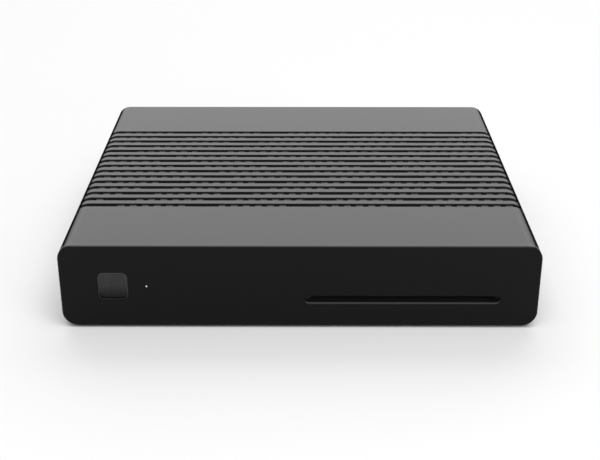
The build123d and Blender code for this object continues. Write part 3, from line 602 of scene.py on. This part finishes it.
# ---------------------------------------------------------------- status light and front board
# A clear rod brings the white light of a small diode to a pinhole in the bezel. The board behind
# the bezel also carries the push switch and the remote-control receiver.
light = box_of("status_light_pipe")
light_pipe = Finish("light_pipe", roughness=0.12, coat_weight=0.6, coat_roughness=0.05)
core_radius = 0.28
glow_depth = 0.6
off_x = light_pipe.axis("X") - light.x
off_z = light_pipe.axis("Z") - light.z
core = off_x * off_x + off_z * off_z < core_radius ** 2
glow = core * (light_pipe.axis("Y") < light.low.y + glow_depth)
light_pipe.set(
    base_color=light_pipe.blend(light_pipe.noise(60.0), (0.050, 0.052, 0.053), (0.080, 0.083, 0.085)),
    emission_color=light_pipe.blend(glow, (0.0, 0.0, 0.0), (0.95, 0.98, 1.0)),
    emission_strength=1.0,
)


def turned(form, profile, x, z, steps=32):
    """Turn a profile of (radius, y) pairs about a line that runs from front to back."""
    return form.skin([upright(circle(radius, steps), x, y, z) for radius, y in profile])


rod_radius = 0.5
collar_radius = 1.5
collar_end = bezel_back + 1.0
dome_depth = 0.2
rod_profile = [
    (rod_radius * cos(angle), light.low.y + dome_depth * (1 - sin(angle)))
    for angle in (1.54, 1.2, 0.8, 0.4, 0.0)
]
rod_profile += [
    (rod_radius, bezel_back), (collar_radius, bezel_back), (collar_radius, collar_end),
    (rod_radius, collar_end), (rod_radius, light.high.y),
]
light_rod = turned(Form(), rod_profile, light.x, light.z, 24)
fit("light_rod", light_rod, light_pipe, "light_pipe", "status_light_pipe")

led_body = moulded("led_body", (0.72, 0.71, 0.66), 0.3, clouds=0.0)
led_face = box_of("status_led").low.y + 0.1
led_body.tint(led_body.axis("Y") < led_face, (0.78, 0.68, 0.22))
use(led_body, "status_led")
receiver_epoxy = moulded("receiver_epoxy", (0.012, 0.006, 0.012), 0.16, 6000.0, 0.004, coat_weight=0.5)
use(receiver_epoxy, "ir_receiver")
use(moulded("switch_plastic", (0.012, 0.012, 0.012), 0.38), "tact_switch", "board_link")
use(moulded("plunger_plastic", (0.30, 0.045, 0.030), 0.35), "tact_plunger")


# ---------------------------------------------------------------- card slot
# The funnel behind the slot is black nylon, and the card socket behind it the harder black plastic
# of the rear sockets. The contacts on its floor are gold-plated springs.
use(moulded("slot_nylon", (0.040, 0.040, 0.040), 0.5, 7000.0), "card_guide")
port_plastic = moulded("port_plastic", (0.009, 0.009, 0.0095), 0.34, 6000.0, 0.012)
use(port_plastic, "card_reader")
contact_gold = Finish("contact_gold", metallic=1.0)
gold_wear = contact_gold.noise(2500.0, 3.0)
contact_gold.set(
    base_color=contact_gold.blend(gold_wear, (0.78, 0.50, 0.16), (0.92, 0.66, 0.28)),
    roughness=0.18 + gold_wear * 0.14,
)
use(contact_gold, "card_contacts")


# ---------------------------------------------------------------- screws
# Cross-head machine and self-tapping screws with pan heads: black ones in the case and the rear
# panel, and bright ones on the boards.
copies = Tree("copies", {"Part": "Object", "Finish": "Material"})
part_shape = copies.node("GeometryNodeObjectInfo", {}, {"Object": copies.inputs["Part"]}, "Geometry")
copies.close(copies.node("GeometryNodeInstanceOnPoints", {}, {
    "Points": copies.inputs["Geometry"], "Instance": part_shape,
}))


def repeat(name, mesh, points, finish):
    """Set one small part at each of several points, as one plain mesh."""
    part = put(name + "_part", mesh)
    made = copies.run(name, points, {"Part": part, "Finish": finish.material})
    bpy.data.objects.remove(part)
    return made


def level(outline, x, y, z):
    """An outline seen from above, at a place."""
    return [(x + u, y + v, z) for u, v in outline]


def cut(mesh, tool):
    """What is left of a mesh once another is taken out of it."""
    pair = [put(shape.name, shape) for shape in (mesh, tool)]
    modifier = pair[0].modifiers.new("cut", "BOOLEAN")
    modifier.object = pair[1]
    ready = pair[0].evaluated_get(bpy.context.evaluated_depsgraph_get())
    left = bpy.data.meshes.new_from_object(ready)
    for thing in pair:
        bpy.data.objects.remove(thing)
    return smoothed(left)


def joined(name, *meshes):
    """Several meshes as one."""
    work = bmesh.new()
    for mesh in meshes:
        work.from_mesh(mesh)
    whole = bpy.data.meshes.new(name)
    work.to_mesh(whole)
    work.free()
    whole.materials.append(meshes[0].materials[0])
    return whole


def thread_rings(radius, depth, pitch, length, steps=24, rows_per_turn=6):
    """The rings of a threaded rod along Z, from the origin up."""
    rows = int(length / pitch * rows_per_turn)
    rings = []
    for row in range(rows + 1):
        z = length * row / rows
        ring = []
        for step in range(steps):
            ridge = 1 - abs(2 * ((z / pitch + step / steps) % 1) - 1)
            reach = radius - depth * (1 - ridge)
            angle = 2 * pi * step / steps
            ring.append((reach * cos(angle), reach * sin(angle), z))
        rings.append(ring)
    return rings


def screw_mesh(name, head, head_height, shank, length, finish):
    """A pan-head screw that points up, with the underside of its head at the origin."""
    crown = [
        (head * 0.995, -0.02), (head, -0.12), (head, -head_height * 0.35),
        (head * 0.93, -head_height * 0.68), (head * 0.74, -head_height * 0.92),
        (head * 0.45, -head_height),
    ]
    form = Form().skin([level(circle(radius), 0, 0, z) for radius, z in crown])
    cross = Form()
    for turn in (0, pi / 2):
        arm = Matrix.Rotation(turn, 3, "Z")
        cross.skin([
            [arm @ Vector((u, v, z)) for u, v in rounded(head * reach, head * width, head * corner, 1)]
            for reach, width, corner, z in (
                (1.12, 0.26, 0.05, -head_height - 0.2), (0.5, 0.16, 0.03, -head_height * 0.25),
            )
        ])
    top = cut(form.done(name, finish), cross.done(name + "_cross", finish))
    rod = Form().skin(thread_rings(shank, shank * 0.18, shank * 0.62, length, 16, 4))
    return joined(name, top, rod.done(name + "_rod", finish, 60))


def plated(name, colour, roughness, worn=0.12, grain=500.0):
    """Plated or bare metal: clouds in its shine, and fine scuffs."""
    finish = Finish(name, metallic=1.0)
    cloud = finish.noise(90.0, 3.0)
    scuff = finish.noise(grain, 4.0)
    finish.set(
        base_color=finish.blend(scuff, [value * 0.86 for value in colour], colour),
        roughness=roughness + cloud * worn + (scuff - 0.5) * 0.1,
    )
    finish.bump(scuff, 0.01, 0.3)
    return finish


def solids(node):
    """The box round each separate solid of a CAD node."""
    work = bmesh.new()
    work.from_mesh(parts[node].data)
    bmesh.ops.remove_doubles(work, verts=work.verts, dist=0.001 * mm)
    boxes = []
    left = set(work.verts)
    while left:
        reached = [left.pop()]
        for vert in reached:
            for edge in vert.link_edges:
                other = edge.other_vert(vert)
                if other in left:
                    left.remove(other)
                    reached.append(other)
        spans = [sorted(round(vert.co[axis] / mm, 3) for vert in reached) for axis in range(3)]
        boxes.append(Box(Vector([span[0] for span in spans]), Vector([span[-1] for span in spans])))
    work.free()
    return sorted(boxes, key=lambda box: tuple(box.low))


def fasten(name, node, finish, slot, sizes, turn):
    """Set cross-head screws, turned to face one way, in place of a CAD node's plain ones."""
    screw = screw_mesh(name, *sizes, finish)
    screw.transform(turn)
    head_end = turn.to_3x3() @ Vector((0, 0, -1))
    along = max(range(3), key=lambda axis: abs(head_end[axis]))
    places = []
    for box in solids(node):
        outer = box.high if head_end[along] > 0 else box.low
        place = box.middle.copy()
        place[along] = outer[along] - head_end[along] * sizes[1]
        places.append(place)
    show(name, repeat(name, screw, places, finish), slot, node)


screw_black = plated("screw_black", (0.035, 0.035, 0.038), 0.28)
screw_steel = plated("screw_steel", (0.62, 0.60, 0.55), 0.2)
case_screw = (2.8, 1.9, 1.45, 14.0)           # head radius and height, shank radius and length
small_screw = (2.3, 1.5, 1.2, 6.0)
as_built = Matrix.Identity(4)
facing_back = Matrix.Rotation(pi / 2, 4, "X")
facing_up = Matrix.Rotation(pi, 4, "X")
fasten("case_cross_screws", "case_screws", screw_black, "screw_black", case_screw, as_built)
fasten("panel_cross_screws", "rear_panel_screws", screw_black, "screw_black", small_screw, facing_back)
fasten("board_cross_screws", "board_screws", screw_steel, "screw_steel", small_screw, facing_up)
fasten("front_cross_screws", "front_board_screws", screw_steel, "screw_steel", small_screw, facing_back)


# ---------------------------------------------------------------- rear panel
# A flat sheet-steel panel, pressed out and powder-coated black, with a fine orange-peel skin.
panel_paint = Finish("panel_paint")
peel = panel_paint.noise(1500.0, 3.0)
panel_cloud = panel_paint.noise(30.0)
panel_paint.set(
    base_color=panel_paint.blend(panel_cloud, (0.010, 0.010, 0.0105), (0.015, 0.015, 0.0155)),
    roughness=0.46 + (peel - 0.5) * 0.16,
)
panel_paint.bump(peel, 0.06, 0.6)
use(panel_paint, "rear_panel")
panel_back = box_of("rear_panel").high.y


# ---------------------------------------------------------------- aerial socket
# A nickel-plated brass barrel with a fine thread, turned from bar. Its end holds a white insulator
# round a sprung contact, and a chamfered hexagon nut with a washer clamps it to the panel.
connector_nickel = plated("connector_nickel", (0.66, 0.63, 0.56), 0.16, 0.14, 900.0)
aerial = box_of("lnb_connector")
cad_nut = box_of("lnb_nut")
thread_radius = 4.7
thread_depth = 0.42
thread_pitch = 0.794
root_radius = thread_radius - thread_depth
body_radius = 4.79            # of the barrel inside the housing, and of its neck in the panel
neck_radius = 4.5
mouth_radius = 3.3
mouth_depth = 0.8
mouth_floor = aerial.high.y - mouth_depth
barrel_start = cad_nut.high.y - 0.6
thread_end = aerial.high.y - 1.0


def back_from(ring, x, y, z):
    """A ring modelled along Z, laid down to point back from a place, and read the other way round."""
    to_back = Matrix.Rotation(-pi / 2, 3, "X")
    return [Vector((x, y, z)) + to_back @ Vector(point) for point in reversed(ring)]


def turned_ring(form, profile, x, z, steps=32):
    """Turn a profile that closes on itself, as on a washer or a sleeve."""
    return form.tube([upright(circle(radius, steps), x, y, z) for radius, y in profile])


barrel = Form()
thread = thread_rings(thread_radius, thread_depth, thread_pitch, thread_end - barrel_start, 36, 8)
barrel.skin([back_from(ring, aerial.x, barrel_start, aerial.z) for ring in thread])
turned_ring(barrel, [
    (root_radius, thread_end - 0.1), (root_radius, aerial.high.y - 0.35),
    (root_radius - 0.35, aerial.high.y), (mouth_radius + 0.2, aerial.high.y),
    (mouth_radius, aerial.high.y - 0.2), (mouth_radius, mouth_floor - 0.2),
    (mouth_radius - 0.4, thread_end - 0.1),
], aerial.x, aerial.z, 36)
turned(barrel, [
    (body_radius, aerial.low.y), (body_radius, panel_back - 1.2), (neck_radius, panel_back - 0.9),
    (neck_radius, barrel_start + 0.2),
], aerial.x, aerial.z)
fit("aerial_barrel", barrel, connector_nickel, "connector_nickel", "lnb_connector", sharp=25)

insulator_white = moulded("insulator_white", (0.74, 0.73, 0.69), 0.35, 4000.0, 0.006)
insulator = turned(Form(), [
    (mouth_radius - 0.02, mouth_floor - 0.9), (mouth_radius - 0.02, mouth_floor - 0.12),
    (mouth_radius - 0.14, mouth_floor), (1.35, mouth_floor), (1.15, mouth_floor - 0.15),
    (0.62, mouth_floor - 0.55), (0.55, mouth_floor - 0.75),
], aerial.x, aerial.z)
fit("aerial_insulator", insulator, insulator_white, "port_plastic")
contact_ring = turned_ring(Form(), [
    (0.62, mouth_floor - 0.70), (0.62, mouth_floor - 0.42), (0.42, mouth_floor - 0.42),
    (0.36, mouth_floor - 0.70),
], aerial.x, aerial.z, 20)
fit("aerial_contact", contact_ring, contact_gold, "contact_gold")


def hexagon(across_flats, limit, steps=6):
    """A hexagon's points, kept inside a circle as by a turned chamfer."""
    points = []
    for step in range(6 * steps):
        angle = 2 * pi * step / (6 * steps)
        within = (angle + pi / 6) % (pi / 3) - pi / 6
        reach = min(across_flats / 2 / cos(within), limit)
        points.append((reach * cos(angle), reach * sin(angle)))
    return points


def add_nut(form, across_flats, bore, x, y_low, y_high, z, edge=0.35):
    """Add a hexagon nut or post with a turned chamfer at both ends, and a hole along it."""
    point = across_flats / 2 / cos(pi / 6)
    rim = across_flats / 2 - 0.05
    outside = [upright(hexagon(across_flats, limit), x, y, z) for limit, y in (
        (rim, y_low), (point, y_low + edge), (point, y_high - edge), (rim, y_high),
    )]
    hole = [upright(circle(radius, len(outside[0])), x, y, z) for radius, y in (
        (bore + 0.25, y_high), (bore, y_high - 0.25), (bore, y_low + 0.25), (bore + 0.25, y_low),
    )]
    form.tube(outside + hole)


washer_thickness = 0.45
washer_radius = 7.1
washer_bore = 4.9
washer_back = cad_nut.low.y + washer_thickness
nut = Form()
add_nut(nut, 12.7, 4.45, aerial.x, washer_back, cad_nut.high.y, aerial.z)
turned_ring(nut, [
    (washer_radius, cad_nut.low.y), (washer_radius, washer_back - 0.1), (washer_radius - 0.1, washer_back),
    (washer_bore, washer_back), (washer_bore, cad_nut.low.y),
], aerial.x, aerial.z)
fit("aerial_nut", nut, connector_nickel, "connector_nickel", "lnb_nut")


# ---------------------------------------------------------------- service socket
# Nine-way socket: a drawn steel D shell with a rolled lip and a flange, a black insulator with nine
# tapered holes, and two hexagon jack posts.
serial = box_of("serial_port")
cad_posts = box_of("serial_jackscrews")
shell_width = 16.9
shell_height = 8.3
shell_slant = 1.5
shell_corner = 1.9
shell_wall = 0.45
shell_back = serial.high.y
flange_width = 30.8
flange_height = 12.5
flange_back = panel_back - 1.0
flange_front = flange_back - 1.0
flange_gap = 0.6              # how far the flange's hole stands off the shell


def d_outline(inset, steps=5):
    """The D shell's outline with round corners, drawn in by an inset."""
    top = shell_width / 2 - inset
    bottom = top - shell_slant
    half = shell_height / 2 - inset
    radius = max(shell_corner - inset, 0.5)
    points = []
    ends = [Vector((top, half)), Vector((-top, half)), Vector((-bottom, -half)), Vector((bottom, -half))]
    for number, here in enumerate(ends):
        before = (ends[number - 1] - here).normalized()
        after = (ends[(number + 1) % 4] - here).normalized()
        half_angle = before.angle(after) / 2
        middle = here + (before + after).normalized() * radius / sin(half_angle)
        start = here + before * radius / tan(half_angle) - middle
        end = here + after * radius / tan(half_angle) - middle
        for step in range(steps + 1):
            points.append(middle + start.lerp(end, step / steps).normalized() * radius)
    return [(point.x, point.y) for point in points]


def d_ring(inset, y):
    """A ring of the shell at one depth."""
    return upright(d_outline(inset), serial.x, y, cad_posts.z)


shell_steel = plated("shell_steel", (0.60, 0.60, 0.58), 0.22, 0.12, 700.0)
service = Form().tube([
    d_ring(0.0, flange_back), d_ring(0.0, shell_back - 0.25), d_ring(0.08, shell_back - 0.07),
    d_ring(0.22, shell_back), d_ring(shell_wall, shell_back - 0.12), d_ring(shell_wall, flange_front),
    d_ring(-flange_gap, flange_front), d_ring(-0.35, flange_back),
])
service.tube([
    upright(rounded(flange_width, flange_height, 1.0), serial.x, y, cad_posts.z)
    for y in (flange_front, flange_back)
] + [d_ring(-flange_gap, y) for y in (flange_back, flange_front)])
fit("service_shell", service, shell_steel, "shell_steel", "serial_port")

insulator_back = shell_back - 0.7
plug_face = Form().skin([
    d_ring(shell_wall + 0.05, flange_front - 8.5), d_ring(shell_wall + 0.05, insulator_back - 0.15),
    d_ring(shell_wall + 0.2, insulator_back),
])
pin_pitch = 2.77
pin_row = 1.42
pin_hole = [(0.55, insulator_back - 4.0), (0.55, insulator_back - 0.4), (1.0, insulator_back + 0.1)]
holes = Form()
for count, row_z in ((5, pin_row), (4, -pin_row)):
    for number in range(count):
        pin_x = serial.x - (number - (count - 1) / 2) * pin_pitch
        turned(holes, pin_hole, pin_x, cad_posts.z + row_z, 16)
service_face = cut(plug_face.done("service_insulator", port_plastic), holes.done("pin_holes", port_plastic))
show("service_insulator", service_face, "port_plastic")

post_flats = 4.75
post_inset = 2.74             # from the end of the posts' box to a post's middle
posts = Form()
for post_x in (cad_posts.low.x + post_inset, cad_posts.high.x - post_inset):
    add_nut(posts, post_flats, 1.35, post_x, panel_back, cad_posts.high.y, cad_posts.z, 0.25)
    turned(posts, [(1.2, cad_posts.low.y), (1.2, panel_back + 0.8)], post_x, cad_posts.z, 16)
fit("jack_posts", posts, screw_steel, "screw_steel", "serial_jackscrews")


# ---------------------------------------------------------------- video, bus and network sockets
# Folded shells of tinned steel round black tongues and gold-plated contacts. The network socket
# holds eight sprung wires and two light windows.
def socket_finish(name, tongues):
    """Tinned steel, apart from the black plastic tongues, which are given as boxes."""
    finish = Finish(name)
    inside = 0.0
    for low, high in tongues:
        tongue = 1.0
        for letter, start, end in zip("XYZ", low, high):
            place = finish.axis(letter)
            tongue = tongue * (place > start) * (place < end)
        inside = inside + tongue
    inside = inside.clamp()
    scuff = finish.noise(700.0, 4.0)
    finish.set(
        base_color=finish.blend(scuff, (0.50, 0.50, 0.48), (0.60, 0.60, 0.58)),
        metallic=1.0 - inside, roughness=0.26 + inside * 0.14 + (scuff - 0.5) * 0.1,
    )
    finish.tint(inside, (0.010, 0.010, 0.011))
    finish.bump(scuff, 0.01, 0.3)
    return finish


def blade(name, width, length, thickness):
    """A flat contact that points back, with its start at the origin."""
    outline = rounded(width, thickness, thickness * 0.35, 2)
    tip = rounded(width * 0.8, thickness * 0.5, thickness * 0.2, 2)
    return Form().skin([
        upright(outline, 0, 0, 0), upright(outline, 0, length - 0.3, 0), upright(tip, 0, length, 0),
    ]).done(name, contact_gold)


def show_blades(name, sizes, points):
    """Gold-plated contacts, one at each point."""
    show(name, repeat(name, blade(name, *sizes), points, contact_gold), "contact_gold")


video = box_of("hdmi_socket")
tongue_z = video.z + 0.4
use(socket_finish("video_shell", [
    ((video.x - 5.95, video.high.y - 12, tongue_z - 0.55),
     (video.x + 5.95, video.high.y - 1.0, tongue_z + 0.55)),
]), "hdmi_socket")
show_blades("video_contacts", (0.42, 7.6, 0.16), [
    (video.x + (number - (count - 1) / 2), video.high.y - 9.6, tongue_z + side * 0.5)
    for count, side in ((10, 1), (9, -1)) for number in range(count)
])

bus = box_of("usb_sockets")
bus_levels = [bus.z + side * 3.7 for side in (-1, 1)]
bus_tongue = 1.275
use(socket_finish("bus_shell", [
    ((bus.x - 5.6, bus.high.y - 12.6, z + bus_tongue - 0.95),
     (bus.x + 5.6, bus.high.y - 1.6, z + bus_tongue + 0.95))
    for z in bus_levels
]), "usb_sockets")
show_blades("bus_contacts", (1.0, 8.6, 0.2), [
    (bus.x + offset, bus.high.y - 11.6, z + bus_tongue - 0.9)
    for z in bus_levels for offset in (-3.5, -1.0, 1.0, 3.5)
])


def strip(form, path, width, thickness, x):
    """A bent strip of sheet that follows a path of (y, z) points, centred at x."""
    rings = []
    for number, (y, z) in enumerate(path):
        before = Vector(path[max(number - 1, 0)])
        after = Vector(path[min(number + 1, len(path) - 1)])
        along = (after - before).normalized()
        over = Vector((-along.y, along.x)) * thickness / 2
        rings.append([
            (x - width / 2, y + over.x, z + over.y), (x + width / 2, y + over.x, z + over.y),
            (x + width / 2, y - over.x, z - over.y), (x - width / 2, y - over.x, z - over.y),
        ])
    form.skin(rings)


springs = Form()
mouth_half = 2.55
spring_spread = 3.2
for z in bus_levels:
    for side in (-1, 1):
        for x in (bus.x - spring_spread, bus.x + spring_spread):
            strip(springs, [
                (bus.high.y - back, z + side * (mouth_half - bow))
                for back, bow in ((0.3, 0.0), (2.2, 0.12), (4.4, 0.5), (6.4, 0.12))
            ], 2.0, 0.16, x)
fit("bus_springs", springs, shell_steel, "shell_steel")

network = box_of("ethernet_jack")
network_roof = network.low.z + 11.9           # the roof of its mouth
use(socket_finish("network_shell", [
    ((network.x - 6.2, network.high.y - 14, network.low.z + 1.5),
     (network.x + 6.2, network.high.y - 0.35, network_roof + 0.4)),
]), "ethernet_jack")
wire_pitch = 1.02
wires = Form()
for number in range(8):
    strip(wires, [
        (network.high.y - back, network_roof - down) for back, down in (
            (2.2, 0.25), (3.2, 0.5), (6.5, 1.7), (9.5, 2.7), (10.6, 2.8), (13.2, 1.9),
        )
    ], 0.35, 0.2, network.x + (number - 3.5) * wire_pitch)
fit("network_wires", wires, contact_gold, "contact_gold")

for name, side, colour in (
    ("link_window", -1, (0.10, 0.42, 0.06)), ("traffic_window", 1, (0.62, 0.36, 0.03)),
):
    window = Form().skin([
        upright(rounded(2.9 - 2 * inset, 1.5 - 2 * inset, 0.35), network.x + side * 5.9,
                network.high.y + proud, network.low.z + 1.35)
        for inset, proud in ((0.0, -0.6), (0.0, 0.06), (0.06, 0.14), (0.2, 0.18))
    ])
    fit(name, window, moulded(name, colour, 0.22, 3000.0, 0.004, coat_weight=0.5), "port_plastic")


# ---------------------------------------------------------------- optical, sound and power sockets
# Black moulded bodies: the optical socket with its grey flap, the jack with a plated sleeve and a
# yellow ring, and the power inlet with a plated pin and two outer springs.
use(port_plastic, "optical_socket", "av_jack")
use(moulded("flap_plastic", (0.030, 0.030, 0.032), 0.3, 5000.0, 0.008), "optical_shutter")
sound = box_of("av_jack")
sound_back = sound.high.y
sleeve = turned_ring(Form(), [
    (2.35, sound_back - 0.05), (2.3, sound_back + 0.12), (1.95, sound_back + 0.12),
    (1.84, sound_back - 0.05),
], sound.x, sound.z)
fit("sound_sleeve", sleeve, connector_nickel, "connector_nickel")
ring_yellow = moulded("ring_yellow", (0.62, 0.42, 0.02), 0.35, 4000.0, 0.006)
collar = turned_ring(Form(), [
    (3.18, sound_back - 0.1), (3.12, sound_back + 0.08), (2.4, sound_back + 0.08),
    (2.36, sound_back - 0.1),
], sound.x, sound.z)
fit("sound_ring", collar, ring_yellow, "port_plastic")

power = box_of("dc_jack")
inlet_back = power.high.y
inlet_plastic = moulded("inlet_plastic", (0.009, 0.009, 0.0095), 0.32, 6000.0, 0.012)
use(inlet_plastic, "dc_jack")
pin_back = inlet_back - 1.0
centre_pin = turned(Form(), [
    (1.04, inlet_back - 9.6), (1.04, pin_back - 0.1), (1.0, pin_back + 0.05), (0.8, pin_back + 0.3),
    (0.45, pin_back + 0.42),
], power.x, power.z, 20)
fit("inlet_pin", centre_pin, connector_nickel, "connector_nickel")
inlet_springs = Form()
for side in (-1, 1):
    strip(inlet_springs, [
        (inlet_back - back, power.z + side * out)
        for back, out in ((0.9, 3.1), (2.6, 2.95), (5.0, 2.6), (8.5, 3.0))
    ], 2.2, 0.2, power.x)
fit("inlet_springs", inlet_springs, connector_nickel, "connector_nickel")
inlet_rim = turned_ring(Form(), [
    (4.1, inlet_back - 0.1), (4.0, inlet_back + 0.14), (3.45, inlet_back + 0.14),
    (3.2, inlet_back - 0.1),
], power.x, power.z)
fit("inlet_rim", inlet_rim, inlet_plastic, "port_plastic")


# ---------------------------------------------------------------- power rocker
# A black snap-in switch: a satin frame, and a glossier rocker with its on and off marks moulded in
# white.
use(moulded("frame_plastic", (0.010, 0.010, 0.0105), 0.36, 6000.0, 0.012), "rocker_frame")
rocker_gloss = moulded("rocker_gloss", (0.007, 0.007, 0.0075), 0.2, 5000.0, 0.006, coat_weight=0.4)
use(rocker_gloss, "power_rocker")
mark_white = moulded("mark_white", (0.72, 0.72, 0.70), 0.4, 4000.0, 0.005)
pivot = Vector((box_of("power_rocker").x, panel_back - 1.0, box_of("rocker_frame").low.z + 10.5))
face_angle = radians(10.0)    # how far each face of the rocker leans back from its middle
face_height = 3.0
rest_turn = Matrix.Rotation(-face_angle, 3, "X")
mark_out = 4.6                # from the pivot to the middle of a mark
mark_proud = 0.03
mark_sunk = -0.2


def on_face(side, outline, lift):
    """An outline drawn on the upper or lower face, at a lift above it, put in place at rest."""
    placed = []
    for u, v in outline:
        out = v + mark_out
        y = face_height + out * sin(face_angle) + lift * cos(face_angle)
        z = side * (out * cos(face_angle) - lift * sin(face_angle))
        placed.append(pivot + rest_turn @ Vector((u, y, z)))
    return placed


marks = Form().skin([on_face(1, rounded(0.75, 3.4, 0.3, 3), lift) for lift in (mark_sunk, mark_proud)])
marks.tube([
    on_face(-1, circle(radius), lift) for radius, lift in (
        (1.7, mark_sunk), (1.7, mark_proud), (1.1, mark_proud), (1.1, mark_sunk),
    )
])
fit("rocker_marks", marks, mark_white, "rocker_plastic", body="rocker")


# ---------------------------------------------------------------- rubber feet
# Soft black feet pressed from rubber, with a rounded rim and a shallow ring in their soles.
foot_rubber = moulded("foot_rubber", (0.014, 0.014, 0.014), 0.75, 2500.0, 0.04)
feet = Form()
for foot in solids("rubber_feet"):
    reach = foot.high.x - foot.x - 0.02
    feet.skin([
        level(circle(radius), foot.x, foot.y, z) for radius, z in (
            (reach, foot.high.z), (reach, 0.85), (reach - 0.12, 0.5), (reach - 0.38, 0.2),
            (reach - 0.8, 0.04), (reach - 1.3, 0.0), (reach - 2.1, 0.0), (reach - 2.3, 0.25),
            (reach - 3.0, 0.25), (reach - 3.2, 0.0), (0.4, 0.0),
        )
    ])
fit("soft_feet", feet, foot_rubber, "foot_rubber", "rubber_feet", sharp=50)


# ---------------------------------------------------------------- circuit boards
# Green solder mask over copper tracks, which show as paler lines with tinned pads along them.
def board_finish(name, first, second):
    """Solder mask with tracks that run along two of the axes."""
    finish = Finish(name, coat_weight=0.3, coat_roughness=0.15)
    tracks = 0.0
    for scale, shift in ((first, 0.37), (second, 4.1)):
        lines = finish.noise(1.0, 1.0, finish.stretched(scale, (shift, shift, shift)))
        tracks = tracks + (lines > 0.52) * (lines < 0.56)
    tracks = tracks.clamp()
    pads = finish.node("ShaderNodeTexVoronoi", {"feature": "F1"}, {
        "Vector": finish.place(), "Scale": 260.0, "Randomness": 0.65,
    }) < 0.11
    finish.set(
        base_color=finish.blend(finish.noise(25.0), (0.008, 0.075, 0.030), (0.012, 0.100, 0.042)),
        metallic=pads * 0.9, roughness=0.38 - pads * 0.12 + tracks * 0.04,
    )
    finish.tint(tracks, (0.030, 0.190, 0.075))
    finish.tint(pads, (0.62, 0.62, 0.58))
    finish.bump((tracks + pads).clamp(), 0.04, 0.5)
    return finish


use(board_finish("main_board_mask", (30, 260, 1), (260, 30, 1)), "main_board")
use(board_finish("front_board_mask", (40, 1, 300), (300, 1, 40)), "front_board")


# ---------------------------------------------------------------- chips and heat sink
# Black epoxy packages with tinned legs, a blue-grey silicone pad, and a sink of bare aluminium,
# extruded from front to back.
chip_epoxy = moulded("chip_epoxy", (0.010, 0.010, 0.011), 0.45, 5000.0, 0.01)
use(chip_epoxy, "processor_chip", "memory_chips", "flash_chip")
tin = plated("tin", (0.70, 0.70, 0.68), 0.22, 0.1, 1200.0)
leg_path = ((0.0, 0.65), (0.3, 0.62), (0.45, 0.12), (0.9, 0.08))   # (out, up) from a package's edge
leg_sheet = 0.14


def legs(form, package, outward, pitch, width):
    """Gull-wing legs on both sides of a package that face along an axis, 0 for X and 1 for Y."""
    along = 1 - outward
    count = int((package.high[along] - package.low[along] - 1.0) / pitch)
    half, up = width / 2, leg_sheet / 2
    for number in range(count):
        middle = package.middle[along] + (number - (count - 1) / 2) * pitch
        for edge, side in ((package.low, -1), (package.high, 1)):
            rings = []
            for out, rise in leg_path:
                ring = []
                for u, v in ((-half, up), (half, up), (half, -up), (-half, -up)):
                    point = Vector((0, 0, package.low.z + rise + v))
                    point[outward] = edge[outward] + side * out
                    point[along] = middle + u
                    ring.append(point)
                rings.append(ring)
            form.skin(rings)


chip_legs = Form()
for package in solids("flash_chip"):
    legs(chip_legs, package, 0, 1.27, 0.42)
for package in solids("processor_chip"):
    legs(chip_legs, package, 0, 0.8, 0.3)
    legs(chip_legs, package, 1, 0.8, 0.3)
fit("chip_legs", chip_legs, tin, "can_metal")
use(moulded("pad_rubber", (0.20, 0.24, 0.30), 0.7, 1500.0, 0.04), "thermal_pad")
sink_aluminium = Finish("sink_aluminium", metallic=1.0)
extruded = sink_aluminium.noise(900.0, 2.0, sink_aluminium.stretched((1.0, 0.02, 1.0)))
sink_aluminium.set(
    base_color=sink_aluminium.blend(extruded, (0.40, 0.40, 0.41), (0.56, 0.56, 0.57)),
    roughness=0.30 + extruded * 0.14,
)
sink_aluminium.bump(extruded, 0.02, 0.4)
use(sink_aluminium, "heat_sink")


# ---------------------------------------------------------------- power parts
# Ferrite blocks, aluminium capacitors in blue sleeves with bare tops, and plated cans over the
# crystal and the tuner.
use(moulded("ferrite", (0.055, 0.055, 0.058), 0.6, 1800.0, 0.06), "inductors")
sleeve_blue = moulded("sleeve_blue", (0.010, 0.022, 0.085), 0.24, 4000.0, 0.006)
can_top = plated("can_top", (0.72, 0.72, 0.72), 0.28, 0.1, 900.0)
cans = Form()
tops = Form()
for can in solids("capacitors"):
    reach = can.high.x - can.x
    foot, top = can.low.z, can.high.z
    cans.tube([
        level(circle(radius), can.x, can.y, z) for radius, z in (
            (reach - 0.25, foot), (reach - 0.05, foot + 0.2), (reach - 0.05, foot + 0.9),
            (reach - 0.4, foot + 1.25), (reach - 0.05, foot + 1.6), (reach - 0.05, top - 0.35),
            (reach - 0.3, top - 0.05), (reach - 0.7, top - 0.02), (reach - 0.75, top - 0.4),
            (reach - 0.75, foot),
        )
    ])
    tops.skin([
        level(circle(radius), can.x, can.y, z) for radius, z in (
            (reach - 0.72, top - 0.6), (reach - 0.72, top - 0.12), (reach - 1.0, top - 0.06),
        )
    ])
fit("capacitor_cans", cans, sleeve_blue, "capacitor_sleeve", "capacitors")
fit("capacitor_tops", tops, can_top, "can_metal")
use(plated("can_metal", (0.62, 0.61, 0.58), 0.26, 0.14, 500.0), "crystal", "tuner_can")
